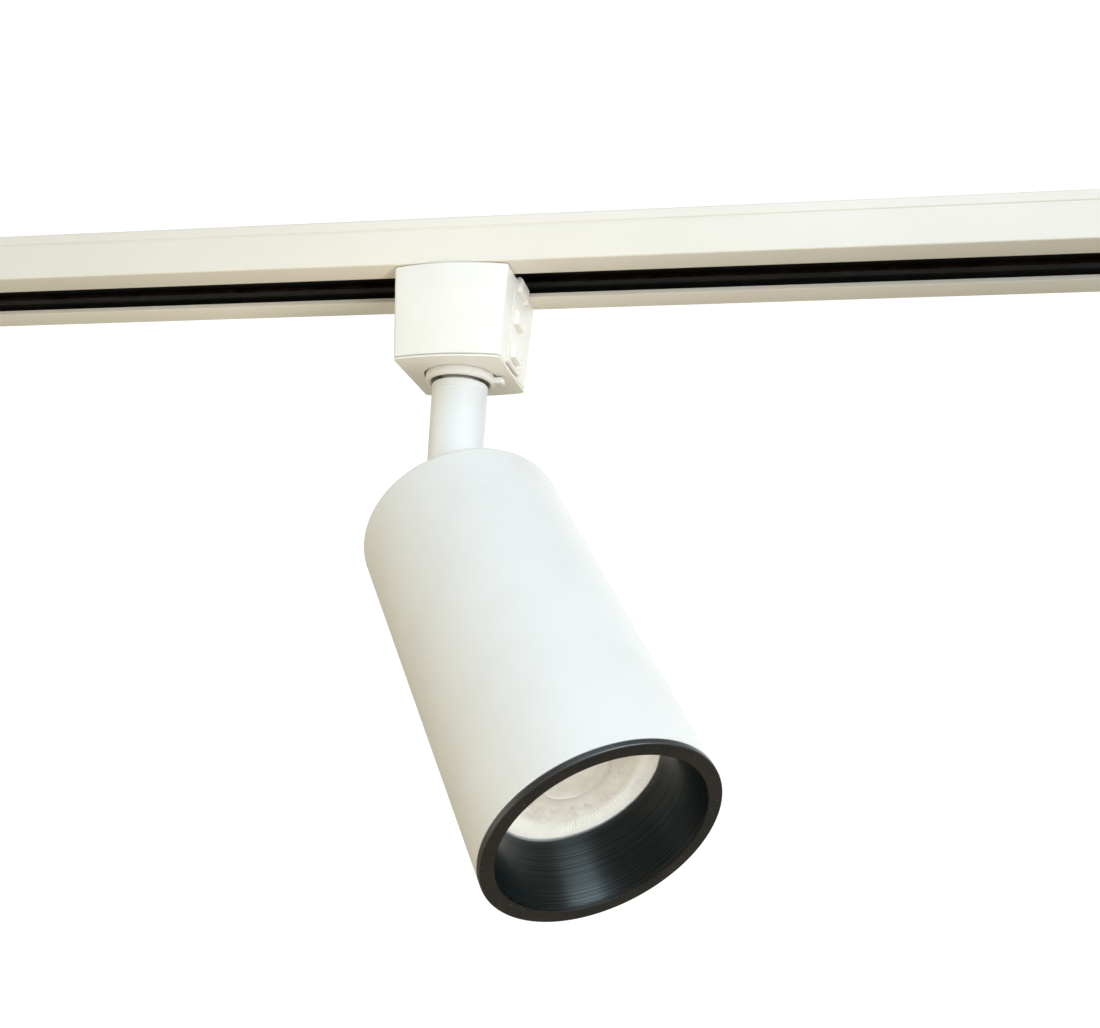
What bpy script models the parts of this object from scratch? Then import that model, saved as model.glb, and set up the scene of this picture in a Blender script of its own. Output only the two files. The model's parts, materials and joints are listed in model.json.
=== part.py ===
"""Track spotlight: a rail section, a twist-lock adapter, a swivel stem and a cylindrical lamp head.

Metres, +Z up. The origin is on the rail's back face, where it meets the ceiling, on the stem's axis.
X runs along the rail. The stem's frame is turned about Z by PAN, and the head's frame is
also tilted by TILT, so that in the head's own frame the light leaves along -Z from the tilt pivot.
"""

import math

import bmesh
import bpy
from mathutils import Matrix, Vector

# Rail
RAIL_LENGTH = 0.3900
RAIL_WIDTH = 0.0350
RAIL_HEIGHT = 0.0142
RAIL_WALL = 0.0016
RAIL_EDGE = 0.0008
LIP_THICKNESS = 0.0015
SLOT_HALF = 0.0083
LEDGE_DROP = 0.0030
LEDGE_HEIGHT = 0.0008
LEDGE_DEPTH = 0.0004
LEDGE_SLOPE = 0.0002
FIXING_HOLE_X = 0.1200
FIXING_HOLE_RADIUS = 0.0022
INSULATOR_INNER = 0.0092
GROOVE_BACK = 0.0144
GROOVE_TOP = -0.0056
GROOVE_BOTTOM = -0.0089
SHELF_BOTTOM = -0.0103
STRIP_THICKNESS = 0.0011
STRIP_END = 0.0040
END_PLATE = 0.0025
CAP_EDGE = 0.0012
PLUG_DEPTH = 0.0080
PLUG_BOTTOM = 0.0030
GAP = 0.0003

# Adapter shell and cover
ADAPTER_HALF_X = 0.0168
ADAPTER_CORNER_Y = 0.0162
ADAPTER_BULGE_Y = 0.0184
ADAPTER_HEIGHT = 0.0273
ADAPTER_DRAFT = 0.92
ADAPTER_WALL = 0.0018
ROOM_INSET = 0.0022
COVER_RIM = 0.0006
COVER_LINE = 0.0003
LIP_INSET = 0.0028
LIP_HALF_X = 0.0118
LIP_HEIGHT = 0.0012
COVER_HOLE_RADIUS = 0.0105
END_WALL = (0.0122, 0.0150)
END_WALL_HALF_Y = 0.0085
WINDOW_HALF_Y = 0.0018
WINDOW_Z = (-0.0300, -0.0225)
POST_X = (0.0104, 0.0119)
POST_HALF_Y = 0.0022
POST_TOP = -0.0358

# Stem bridge inside the adapter
BRIDGE_HALF_X = 0.0046
BRIDGE_Z = -0.0265
BRIDGE_THICKNESS = 0.0012
BRIDGE_HALF_Y = 0.0150
BRIDGE_FOOT_Y = 0.0103
BRIDGE_SCREW_Y = 0.0121
SCREW_HOLE = 0.0010

# Contact lock: rotor, blades and lever
ROTOR_TOP = -0.0040
ROTOR_TIP_RADIUS = 0.0065
ROTOR_BORE = 0.0030
ROTOR_NECK_RADIUS = 0.0076
ROTOR_FLANGE_RADIUS = 0.0099
ROTOR_FLANGE = 0.0022
WING_REACH = 0.0138
WING_THICKNESS = 0.0015
LEG_INNER = 0.0089
LEG_OUTER = 0.0099
LEG_BOTTOM = -0.0383
LEG_STARTS = (-59, 121)
LEG_TURN = 28
BLADE_Z = -0.0074
BLADE_THICKNESS = 0.0010
BLADE_HALF_X = 0.0025
BLADE_ROOT = 0.0035
CONTACT_REACH = 0.0126
COLLAR_INNER = 0.0083
COLLAR_DROP = 0.0024
LEVER_DROP = 0.0006
LEVER_REACH = 0.0126
LEVER_WIDTH = 0.0018
LEVER_TIP = 0.0011
LEVER_TIP_Y = 0.0022

# Latch
LATCH_HALF_Y = 0.0068
LATCH_PLATE = 0.0009
LATCH_RECESS = 0.0013
LUG_HALF_Y = 0.0042
LUG_HEIGHT = 0.0047
LUG_PITCH = 0.0100
LUG_OUT = 0.0012
LUG_BEVEL = 0.0008
HEEL_WIDTH = 0.0010
HEEL_HEIGHT = 0.0008
SLIT_HEIGHT = 0.0005
SLIT_DEPTH = 0.0006
HOOK_RISE = 0.0011
LATCH_TRAVEL = 0.0014
TAB_X = 0.0104
TAB_HALF_Y = 0.0014
TAB_Z = (-0.0262, -0.0242)
SPRING_Z = (-0.0354, -0.0266)
SPRING_X = 0.0110
SPRING_RADIUS = 0.0007
SPRING_WIRE = 0.00018

# Stem
STEM_TOP_RADIUS = 0.00793
STEM_END_RADIUS = 0.00758
STEM_STEP_Z = -0.0447
STEM_NECK_RADIUS = 0.0052
STEM_BORE = 0.0019
SPIGOT_RADIUS = 0.0030
SPIGOT_HEIGHT = 0.0056
PIVOT_Z = -0.0800
FORK_SLOT = 0.0064
FORK_FLAT = 0.0062
FORK_TOP = 0.0070
FORK_ROOM = 0.0120
PIVOT_HOLE = 0.0022
PIVOT_SHANK = 0.0019
WASHER_THICKNESS = 0.0006

# Head, measured along its axis from the tilt pivot
PAN = math.radians(-45.7)
TILT = math.radians(43.0)
HEAD_RADIUS = 0.0274
HEAD_WALL = 0.0017
HEAD_REAR = 0.0100
HEAD_FRONT = 0.1182
REAR_WALL = 0.0025
REAR_ROUND = 0.0030
REAR_INNER_ROUND = 0.0012
NECK_HOLE = 0.0043
RING_BAND = 0.0013
RING_MOUTH = 0.0240
RING_THROAT = 0.0197
RING_DEPTH = 0.0158
RING_CLEARANCE = 0.0004
LAMP_FRONT = 0.1018
LAMP_SEAT = 0.0523
LAMP_RADIUS = 0.0249
LAMP_MOUTH = 0.0218
LAMP_RECESS = 0.0200
LENS_RADIUS = 0.0215
LENS_THICKNESS = 0.0022
PIN_HALF_SPACING = 0.0050
SOCKET_REAR = 0.0360
SOCKET_RADIUS = 0.0130
BRACKET_SHEET = 0.0010
BRACKET_HALF_X = 0.0140
BRACKET_FOOT_X = 0.0200
BRACKET_HALF_Y = 0.0060
BRACKET_SCREW_X = 0.0170
BRACKET_SCREW_HOLE = 0.0013
LEAD_RADIUS = 0.0008
LEAD_START = 0.0184

RAIL_BOTTOM = -RAIL_HEIGHT
ADAPTER_TOP = RAIL_BOTTOM - GAP
ADAPTER_BOTTOM = ADAPTER_TOP - ADAPTER_HEIGHT
HOUSING_BOTTOM = ADAPTER_BOTTOM + COVER_RIM + COVER_LINE
COLLAR_BOTTOM = ADAPTER_BOTTOM - COLLAR_DROP
BIG_ROUND = 64
ROUND = 48
INNER_ROUND = 32
SMALL_ROUND = 24
SCREW_ROUND = 12


def clear_scene():
    for old in list(bpy.data.objects):
        bpy.data.objects.remove(old, do_unlink=True)


def material(name, color, roughness, metallic=0.0):
    made = bpy.data.materials.new(name)
    made.use_nodes = True
    shader = made.node_tree.nodes["Principled BSDF"]
    shader.inputs["Base Color"].default_value = (*color, 1.0)
    shader.inputs["Roughness"].default_value = roughness
    shader.inputs["Metallic"].default_value = metallic
    return made


def frame(name, location, rotation=(0.0, 0.0, 0.0), parent=None):
    """An empty that carries the pieces of one moving assembly."""
    empty = bpy.data.objects.new(name, None)
    empty.location = location
    empty.rotation_euler = rotation
    empty.parent = parent
    bpy.context.scene.collection.objects.link(empty)
    return empty


def piece(name, bm, finish, parent=None, sharp=35.0):
    bmesh.ops.recalc_face_normals(bm, faces=bm.faces)
    mesh = bpy.data.meshes.new(name)
    bm.to_mesh(mesh)
    bm.free()
    mesh.shade_smooth()
    mesh.set_sharp_from_angle(angle=math.radians(sharp))
    if finish:
        mesh.materials.append(finish)
    made = bpy.data.objects.new(name, mesh)
    made.parent = parent
    bpy.context.scene.collection.objects.link(made)
    return made


def tool(name, bm, parent=None):
    """A shape that only cuts or joins another one."""
    made = piece(name, bm, None, parent)
    made.hide_render = True
    made.display_type = "WIRE"
    return made


def apply_tool(target, other, operation="DIFFERENCE"):
    boolean = target.modifiers.new(other.name, "BOOLEAN")
    boolean.operation = operation
    boolean.object = other
    return target


def soften(target, width, segments=2, angle=40.0):
    bevel = target.modifiers.new("edges", "BEVEL")
    bevel.width = width
    bevel.segments = segments
    bevel.limit_method = "ANGLE"
    bevel.angle_limit = math.radians(angle)


def turned(profile, steps=ROUND):
    """A solid of revolution about Z from a closed outline of (radius, z) points."""
    bm = bmesh.new()
    points = [bm.verts.new((r, 0.0, z)) for r, z in profile]
    edges = []
    for start, end in zip(points, points[1:] + points[:1]):
        if max(start.co.x, end.co.x) > 0.0:
            edges.append(bm.edges.new((start, end)))
    bmesh.ops.spin(
        bm, geom=points + edges, cent=(0, 0, 0), axis=(0, 0, 1), angle=math.tau, steps=steps, use_merge=True
    )
    bmesh.ops.remove_doubles(bm, verts=bm.verts, dist=1e-6)
    return bm


def prism(outline, start, end, along="Z"):
    """An outline extruded along an axis. The outline's points are the other two axes, in order."""
    places = {
        "X": lambda a, b: (start, a, b),
        "Y": lambda a, b: (a, start, b),
        "Z": lambda a, b: (a, b, start),
    }
    step = {"X": (end - start, 0, 0), "Y": (0, end - start, 0), "Z": (0, 0, end - start)}[along]
    bm = bmesh.new()
    face = bm.faces.new([bm.verts.new(places[along](a, b)) for a, b in outline])
    moved = bmesh.ops.extrude_face_region(bm, geom=[face])["geom"]
    bmesh.ops.translate(bm, vec=step, verts=[v for v in moved if isinstance(v, bmesh.types.BMVert)])
    return bm


def block(low, high):
    """A box between two corners."""
    bm = bmesh.new()
    bmesh.ops.create_cube(bm, size=1.0)
    size = Vector(high) - Vector(low)
    centre = (Vector(high) + Vector(low)) / 2
    bmesh.ops.transform(bm, matrix=Matrix.Translation(centre) @ Matrix.Diagonal((*size, 1.0)), verts=bm.verts)
    return bm


def rod(radius, start, end, centre=(0.0, 0.0), along="Z", steps=SMALL_ROUND):
    """A round bar along an axis, centred on the other two axes' coordinates."""
    turns = [math.tau * k / steps for k in range(steps)]
    outline = [(centre[0] + radius * math.cos(t), centre[1] + radius * math.sin(t)) for t in turns]
    return prism(outline, start, end, along)


def hexagon(across, bottom, top, hole):
    """A hexagonal nut about Z, built as a ring with a six-sided outside and a round hole."""
    bm = bmesh.new()
    rings = []
    for z in (bottom, top):
        outer = []
        inner = []
        for k in range(SMALL_ROUND):
            turn = math.tau * k / SMALL_ROUND
            within = (turn + math.pi / 6) % (math.pi / 3) - math.pi / 6
            reach = across / 2 / math.cos(within)
            outer.append(bm.verts.new((reach * math.cos(turn), reach * math.sin(turn), z)))
            inner.append(bm.verts.new((hole * math.cos(turn), hole * math.sin(turn), z)))
        rings += [outer, inner]
    low_out, low_in, top_out, top_in = rings
    for one, two in ((low_out, top_out), (top_out, top_in), (top_in, low_in), (low_in, low_out)):
        for k in range(SMALL_ROUND):
            after = (k + 1) % SMALL_ROUND
            bm.faces.new((one[k], one[after], two[after], two[k]))
    return bm


def washer(inner, outer, bottom, top):
    return turned([(inner, bottom), (outer, bottom), (outer, top), (inner, top)], SMALL_ROUND)


def arc(centre, radius, start, end, count):
    """Points on an arc, angles in degrees."""
    points = []
    for k in range(count + 1):
        turn = math.radians(start + (end - start) * k / count)
        points.append((centre[0] + radius * math.cos(turn), centre[1] + radius * math.sin(turn)))
    return points


# Rail


def rail_outline():
    """Half of the section for +Y, from the back's middle to the slot, then back inside."""
    half = RAIL_WIDTH / 2
    inner = half - RAIL_WALL
    lip_top = RAIL_BOTTOM + LIP_THICKNESS
    shelf = half - LEDGE_DEPTH
    ledge_low = LEDGE_DROP + LEDGE_HEIGHT
    edge = RAIL_EDGE
    outer = arc((half - edge, -edge), edge, 90, 0, 3)
    outer += [(half, -LEDGE_DROP), (shelf, -LEDGE_DROP - LEDGE_SLOPE)]
    outer += [(shelf, -ledge_low + LEDGE_SLOPE), (half, -ledge_low)]
    outer += arc((half - edge / 2, RAIL_BOTTOM + edge / 2), edge / 2, 0, -90, 2)
    return outer + [(SLOT_HALF, RAIL_BOTTOM), (SLOT_HALF, lip_top), (inner, lip_top), (inner, -RAIL_WALL)]


def make_rail(finish):
    right = rail_outline()
    left = [(-y, z) for y, z in reversed(right)]
    rail = piece("rail_extrusion", prism(right + left, -RAIL_LENGTH / 2, RAIL_LENGTH / 2, "X"), finish)
    for side in (-1, 1):
        hole = rod(FIXING_HOLE_RADIUS, -2 * RAIL_WALL, RAIL_WALL, (side * FIXING_HOLE_X, 0.0))
        apply_tool(rail, tool("fixing_hole_cutter", hole))


def make_insulator(name, side, finish):
    outer = RAIL_WIDTH / 2 - RAIL_WALL - GAP
    top = -RAIL_WALL - GAP
    foot = RAIL_BOTTOM + LIP_THICKNESS + GAP
    outline = [
        (INSULATOR_INNER, top),
        (outer, top),
        (outer, foot),
        (GROOVE_BACK, foot),
        (GROOVE_BACK, SHELF_BOTTOM),
        (INSULATOR_INNER, SHELF_BOTTOM),
        (INSULATOR_INNER, GROOVE_BOTTOM),
        (GROOVE_BACK, GROOVE_BOTTOM),
        (GROOVE_BACK, GROOVE_TOP),
        (INSULATOR_INNER, GROOVE_TOP),
    ]
    half = RAIL_LENGTH / 2 - GAP
    piece(name, prism([(side * y, z) for y, z in outline], -half, half, "X"), finish)


def make_conductor(name, side, finish):
    back = GROOVE_BACK - GAP
    ends = sorted((side * (back - STRIP_THICKNESS), side * back))
    half = RAIL_LENGTH / 2 - STRIP_END
    strip = block((-half, ends[0], GROOVE_BOTTOM + GAP), (half, ends[1], GROOVE_TOP - GAP))
    piece(name, strip, finish)


def make_end_cap(name, side, finish):
    inside = side * (RAIL_LENGTH / 2 + GAP)
    outside = inside + side * END_PLATE
    corner = RAIL_WIDTH / 2 - CAP_EDGE
    outline = arc((corner, -CAP_EDGE), CAP_EDGE, 90, 0, 3)
    outline += arc((corner, RAIL_BOTTOM + CAP_EDGE), CAP_EDGE, 0, -90, 3)
    outline += [(-y, z) for y, z in reversed(outline)]
    cap = piece(name, prism(outline, inside, outside, "X"), finish)
    plug = INSULATOR_INNER - 2 * GAP
    ends = sorted((inside + side * END_PLATE / 2, inside - side * PLUG_DEPTH))
    boss = block((ends[0], -plug, RAIL_BOTTOM + PLUG_BOTTOM), (ends[1], plug, -RAIL_WALL - GAP))
    apply_tool(cap, tool("end_cap_boss", boss), "UNION")


def make_track(finishes):
    make_rail(finishes["white_paint"])
    make_insulator("insulator_front", -1, finishes["black_insulator"])
    make_insulator("insulator_rear", 1, finishes["black_insulator"])
    make_conductor("conductor_live", 1, finishes["copper"])
    make_conductor("conductor_neutral", -1, finishes["copper"])
    make_end_cap("end_cap_left", -1, finishes["white_plastic"])
    make_end_cap("end_cap_right", 1, finishes["white_plastic"])


# Adapter


def adapter_outline(inset=0.0):
    """The housing's plan: flat ends, and front and rear faces that bulge as arcs."""
    half = ADAPTER_HALF_X - inset
    rise = ADAPTER_BULGE_Y - ADAPTER_CORNER_Y
    radius = (ADAPTER_HALF_X**2 + rise**2) / (2 * rise)
    centre = ADAPTER_BULGE_Y - radius
    front = []
    for k in range(9):
        x = -half + 2 * half * k / 8
        front.append((x, -(centre + math.sqrt((radius - inset) ** 2 - x**2))))
    return front + [(-x, -y) for x, y in front]


def draft_at(z):
    """How much narrower the adapter is at a height than at its top."""
    return 1.0 - (1.0 - ADAPTER_DRAFT) * (ADAPTER_TOP - z) / ADAPTER_HEIGHT


def drafted(bm):
    """Narrows everything towards the adapter's foot, for the moulding's draft."""
    for vert in bm.verts:
        scale = draft_at(vert.co.z)
        vert.co.x *= scale
        vert.co.y *= scale
    return bm


def end_strip(behind, before, low, high, half_y):
    """A strip that follows the drafted end face, between two depths measured from it."""
    outline = [
        (ADAPTER_HALF_X * draft_at(z) + offset, z)
        for z, offset in ((low, behind), (low, before), (high, before), (high, behind))
    ]
    return prism(outline, -half_y, half_y, "Y")


def make_housing(finish):
    housing = piece("adapter_housing", drafted(prism(adapter_outline(), HOUSING_BOTTOM, ADAPTER_TOP)), finish)
    soften(housing, 0.0006)
    ceiling = ADAPTER_TOP - ADAPTER_WALL
    room = drafted(prism(adapter_outline(ROOM_INSET), HOUSING_BOTTOM - 0.001, ceiling))
    apply_tool(housing, tool("housing_room", room))
    end_low = (END_WALL[0], -END_WALL_HALF_Y, HOUSING_BOTTOM)
    end_high = (END_WALL[1], END_WALL_HALF_Y, ceiling + ADAPTER_WALL / 3)
    apply_tool(housing, tool("latch_wall", block(end_low, end_high)), "UNION")
    through = ADAPTER_TOP + 0.001
    rotor_hole = rod(ROTOR_NECK_RADIUS + GAP, ceiling - 0.001, through, steps=ROUND)
    apply_tool(housing, tool("rotor_hole", rotor_hole))
    recess = end_strip(-LATCH_RECESS, 0.003, HOUSING_BOTTOM - 0.001, through, LATCH_HALF_Y + GAP)
    apply_tool(housing, tool("latch_recess", recess))
    window = block((END_WALL[0] - 0.002, -WINDOW_HALF_Y, WINDOW_Z[0]), (0.020, WINDOW_HALF_Y, WINDOW_Z[1]))
    apply_tool(housing, tool("latch_window", window))
    for side in (-1, 1):
        hole = rod(SCREW_HOLE, ceiling - 0.001, through, (0.0, side * BRIDGE_SCREW_Y), steps=SCREW_ROUND)
        apply_tool(housing, tool("bridge_screw_hole", hole))


def make_cover(finish):
    """The base plate: a rim under the housing, a lip inside it and the spring's post."""
    top = ADAPTER_BOTTOM + COVER_RIM
    outline = [(x * ADAPTER_DRAFT, y * ADAPTER_DRAFT) for x, y in adapter_outline()]
    cover = piece("adapter_cover", prism(outline, ADAPTER_BOTTOM, top), finish)
    soften(cover, 0.00015, 2)
    lip = [(min(x * ADAPTER_DRAFT, LIP_HALF_X), y * ADAPTER_DRAFT) for x, y in adapter_outline(LIP_INSET)]
    inside = top - COVER_RIM / 2
    apply_tool(cover, tool("cover_lip", prism(lip, inside, top + LIP_HEIGHT)), "UNION")
    post = block((POST_X[0], -POST_HALF_Y, inside), (POST_X[1], POST_HALF_Y, POST_TOP))
    apply_tool(cover, tool("spring_post", post), "UNION")
    hole = rod(COVER_HOLE_RADIUS, ADAPTER_BOTTOM - 0.001, POST_TOP + 0.001, steps=ROUND)
    apply_tool(cover, tool("cover_hole", hole))


def make_bridge(finish):
    """A hat-section steel strip that carries the stem from the housing's top wall."""
    low = BRIDGE_Z
    high = low + BRIDGE_THICKNESS
    top = ADAPTER_TOP - ADAPTER_WALL - GAP
    foot = top - BRIDGE_THICKNESS
    outer = BRIDGE_HALF_Y
    inner = outer - BRIDGE_THICKNESS
    half = [(outer, low), (outer, top), (BRIDGE_FOOT_Y, top), (BRIDGE_FOOT_Y, foot)]
    half += [(inner, foot), (inner, high)]
    outline = half + [(-y, z) for y, z in reversed(half)]
    bridge = piece("stem_bridge", prism(outline, -BRIDGE_HALF_X, BRIDGE_HALF_X, "X"), finish)
    apply_tool(bridge, tool("bridge_hole", rod(SPIGOT_RADIUS + GAP, low - 0.001, high + 0.001, steps=ROUND)))
    for side in (-1, 1):
        place = (0.0, side * BRIDGE_SCREW_Y)
        hole = rod(SCREW_HOLE, foot - 0.001, top + 0.001, place, steps=SCREW_ROUND)
        apply_tool(bridge, tool("foot_hole", hole))


def make_bridge_screw(name, side, finish):
    """A small screw: its head under the bridge's foot, its shank up into the housing."""
    foot = ADAPTER_TOP - ADAPTER_WALL - GAP - BRIDGE_THICKNESS
    head = 0.0014
    shank = SCREW_HOLE - GAP
    shape = [(0.0, foot - head), (head - 0.0002, foot - 0.0012), (head, foot - GAP), (shank, foot - GAP)]
    shape += [(shank, ADAPTER_TOP - GAP), (0.0, ADAPTER_TOP - GAP)]
    screw = piece(name, turned(shape, SCREW_ROUND), finish)
    screw.location = (0.0, side * BRIDGE_SCREW_Y, 0.0)


def make_rotor(finish, parent):
    """The contact carrier: a flange in the housing, two legs down to the collar, two wings over the lips."""
    flange_top = ADAPTER_TOP - ADAPTER_WALL - GAP
    flange_low = flange_top - ROTOR_FLANGE
    wing_low = RAIL_BOTTOM + LIP_THICKNESS + GAP
    wing_top = wing_low + WING_THICKNESS
    profile = [
        (ROTOR_BORE, flange_low),
        (ROTOR_FLANGE_RADIUS, flange_low),
        (ROTOR_FLANGE_RADIUS, flange_top),
        (ROTOR_NECK_RADIUS, flange_top),
        (ROTOR_NECK_RADIUS, wing_top + 0.0004),
        (ROTOR_TIP_RADIUS, wing_top + 0.0011),
        (ROTOR_TIP_RADIUS, ROTOR_TOP - 0.0005),
        (ROTOR_TIP_RADIUS - 0.0005, ROTOR_TOP),
        (0.0, ROTOR_TOP),
        (0.0, ROTOR_TOP - ADAPTER_WALL),
        (ROTOR_BORE, ROTOR_TOP - ADAPTER_WALL),
    ]
    rotor = piece("contact_rotor", turned(profile, INNER_ROUND), finish, parent)
    outline = arc((0, 0), WING_REACH, 68, 112, 4) + arc((0, 0), WING_REACH, 248, 292, 4)
    apply_tool(rotor, tool("rotor_wings", prism(outline, wing_low, wing_top), parent), "UNION")
    for start in LEG_STARTS:
        end = start + LEG_TURN
        sector = arc((0, 0), LEG_OUTER, start, end, 4) + arc((0, 0), LEG_INNER, end, start, 4)
        leg = prism(sector, LEG_BOTTOM, flange_top - ROTOR_FLANGE / 2)
        apply_tool(rotor, tool("rotor_leg", leg, parent), "UNION")
    deep = BLADE_THICKNESS / 2 + GAP
    wide = BLADE_HALF_X + GAP
    for side in (-1, 1):
        ends = sorted((side * ROTOR_BORE / 2, side * 0.0100))
        slot = block((-wide, ends[0], BLADE_Z - deep), (wide, ends[1], BLADE_Z + deep))
        apply_tool(rotor, tool("blade_slot", slot, parent))


def make_blade(name, side, finish, parent):
    """A contact blade that leaves the rotor's slot and meets the strip with a rounded tip."""
    half = BLADE_HALF_X
    outline = [(-half, side * BLADE_ROOT), (half, side * BLADE_ROOT)]
    outline += [(x, side * y) for x, y in arc((0.0, CONTACT_REACH - half), half, 0, 180, 6)]
    blade = prism(outline, BLADE_Z - BLADE_THICKNESS / 2, BLADE_Z + BLADE_THICKNESS / 2)
    piece(name, blade, finish, parent)


def make_lever(finish, parent):
    """The turning collar that stands out of the cover, with its L-shaped finger bar."""
    bottom = COLLAR_BOTTOM
    top = LEG_BOTTOM - GAP
    profile = [
        (COLLAR_INNER, bottom + 0.0006),
        (COLLAR_INNER + 0.0002, bottom + 0.0002),
        (COLLAR_INNER + 0.0006, bottom),
        (LEG_OUTER - 0.0006, bottom),
        (LEG_OUTER - 0.0002, bottom + 0.0002),
        (LEG_OUTER, bottom + 0.0006),
        (LEG_OUTER, top),
        (LEG_INNER, top),
        (LEG_INNER, bottom + 0.0020),
        (COLLAR_INNER, bottom + 0.0014),
    ]
    ring = piece("locking_lever", turned(profile), finish, parent)
    half = LEVER_WIDTH / 2
    root = (LEG_INNER + LEG_OUTER) / 2
    tip = LEVER_REACH - LEVER_TIP
    bar = [(root, -half), (LEVER_REACH, -half), (LEVER_REACH, LEVER_TIP_Y), (tip, LEVER_TIP_Y), (tip, half)]
    bar.append((root, half))
    shape = prism(bar, bottom + 0.0001, ADAPTER_BOTTOM - LEVER_DROP)
    apply_tool(ring, tool("lever_bar", shape, parent), "UNION")


def make_slit(upper):
    """The narrow slit in the latch's plate under a lug."""
    high = upper - LUG_HEIGHT
    low = high - SLIT_HEIGHT
    face = ADAPTER_HALF_X * draft_at(low) - LATCH_RECESS + GAP + LATCH_PLATE
    return block((face - SLIT_DEPTH, -LUG_HALF_Y, low), (face + 0.001, LUG_HALF_Y - HEEL_WIDTH, high))


def make_lug(upper):
    """A grip lug on the latch's face, with a bevelled top edge and a small heel at its rear end."""
    lower = upper - LUG_HEIGHT
    face = ADAPTER_HALF_X * draft_at((upper + lower) / 2) - LATCH_RECESS + GAP + LATCH_PLATE
    root = face - LATCH_PLATE / 2
    out = face + LUG_OUT
    outline = [(root, lower), (out, lower + LUG_BEVEL / 4), (out, upper - LUG_BEVEL)]
    outline += [(out - LUG_BEVEL, upper), (root, upper)]
    heel_low = (root, LUG_HALF_Y - HEEL_WIDTH, lower - HEEL_HEIGHT)
    heel = block(heel_low, (out - 0.0002, LUG_HALF_Y, lower + 0.0004))
    return prism(outline, -LUG_HALF_Y, LUG_HALF_Y, "Y"), heel


def make_latch(finish, parent):
    """The spring latch: a plate with grip lugs, whose top lug rises into the rail's slot."""
    back = GAP - LATCH_RECESS
    foot = HOUSING_BOTTOM + LATCH_TRAVEL
    plate = end_strip(back, back + LATCH_PLATE, foot, ADAPTER_TOP - 0.0001, LATCH_HALF_Y)
    latch = piece("end_latch", plate, finish, parent)
    for k in range(3):
        upper = RAIL_BOTTOM + HOOK_RISE - k * LUG_PITCH
        for shape in make_lug(upper):
            apply_tool(latch, tool("grip_lug", shape, parent), "UNION")
        apply_tool(latch, tool("lug_slit", make_slit(upper), parent))
    inside = ADAPTER_HALF_X * draft_at(TAB_Z[1]) + back + LATCH_PLATE / 2
    tab = block((TAB_X, -TAB_HALF_Y, TAB_Z[0]), (inside, TAB_HALF_Y, TAB_Z[1]))
    apply_tool(latch, tool("spring_tab", tab, parent), "UNION")


def make_latch_spring(finish):
    """A coil spring that stands on the cover's post and pushes the latch's tab up."""
    turns = 5
    steps = 8
    low, high = SPRING_Z
    curve = bpy.data.curves.new("latch_spring", "CURVE")
    curve.dimensions = "3D"
    curve.bevel_depth = SPRING_WIRE
    curve.bevel_resolution = 1
    curve.use_fill_caps = True
    spline = curve.splines.new("POLY")
    spline.points.add(turns * steps)
    for k, point in enumerate(spline.points):
        turn = math.tau * k / steps
        height = low + (high - low) * k / (turns * steps)
        across = SPRING_X + SPRING_RADIUS * math.cos(turn)
        point.co = (across, SPRING_RADIUS * math.sin(turn), height, 1.0)
    curve.materials.append(finish)
    spring = bpy.data.objects.new("latch_spring", curve)
    bpy.context.scene.collection.objects.link(spring)


def make_adapter(finishes):
    white = finishes["white_plastic"]
    make_housing(white)
    make_cover(white)
    make_bridge(finishes["steel"])
    make_bridge_screw("bridge_screw_front", -1, finishes["steel"])
    make_bridge_screw("bridge_screw_rear", 1, finishes["steel"])
    make_latch_spring(finishes["steel"])
    lock = frame("lock_axis", (0, 0, 0))
    make_rotor(finishes["black_insulator"], lock)
    make_blade("contact_blade_live", 1, finishes["copper"], lock)
    make_blade("contact_blade_neutral", -1, finishes["copper"], lock)
    make_lever(white, lock)
    make_latch(white, frame("latch_slide_axis", (0, 0, 0)))


# Stem, in its own frame with the tilt pivot at the origin


def make_stem(finish, parent):
    """A tapered tube with a slimmer neck and threaded spigot on top, and a round-ended fork below."""
    shoulder = BRIDGE_Z - GAP - PIVOT_Z
    step = STEM_STEP_Z - PIVOT_Z
    fork_low = -0.0100
    profile = [
        (STEM_BORE, shoulder + SPIGOT_HEIGHT),
        (STEM_BORE, fork_low),
        (STEM_END_RADIUS, fork_low),
        (STEM_END_RADIUS, 0.0),
        (STEM_TOP_RADIUS, step),
        (STEM_NECK_RADIUS, step),
        (STEM_NECK_RADIUS, shoulder),
        (SPIGOT_RADIUS, shoulder),
        (SPIGOT_RADIUS, shoulder + SPIGOT_HEIGHT),
    ]
    stem = piece("stem_tube", turned(profile), finish, parent)
    end = arc((0, 0), STEM_END_RADIUS, 180, 360, 16)
    wide = FORK_ROOM
    outside = [(wide, 0.0), (wide, -wide), (-wide, -wide), (-wide, 0.0)]
    apply_tool(stem, tool("fork_round", prism(end + outside, -wide, wide, "Y"), parent))
    half = FORK_SLOT / 2
    slot = block((-1.2 * wide, -half, -1.2 * wide), (1.2 * wide, half, FORK_TOP))
    apply_tool(stem, tool("fork_slot", slot, parent))
    for side in (-1, 1):
        ends = sorted((side * FORK_FLAT, side * wide))
        flat = block((-wide, ends[0], -wide), (wide, ends[1], FORK_TOP))
        apply_tool(stem, tool("fork_flat", flat, parent))
    apply_tool(stem, tool("pivot_hole", rod(PIVOT_HOLE, -wide, wide, along="Y"), parent))
    return stem


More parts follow.
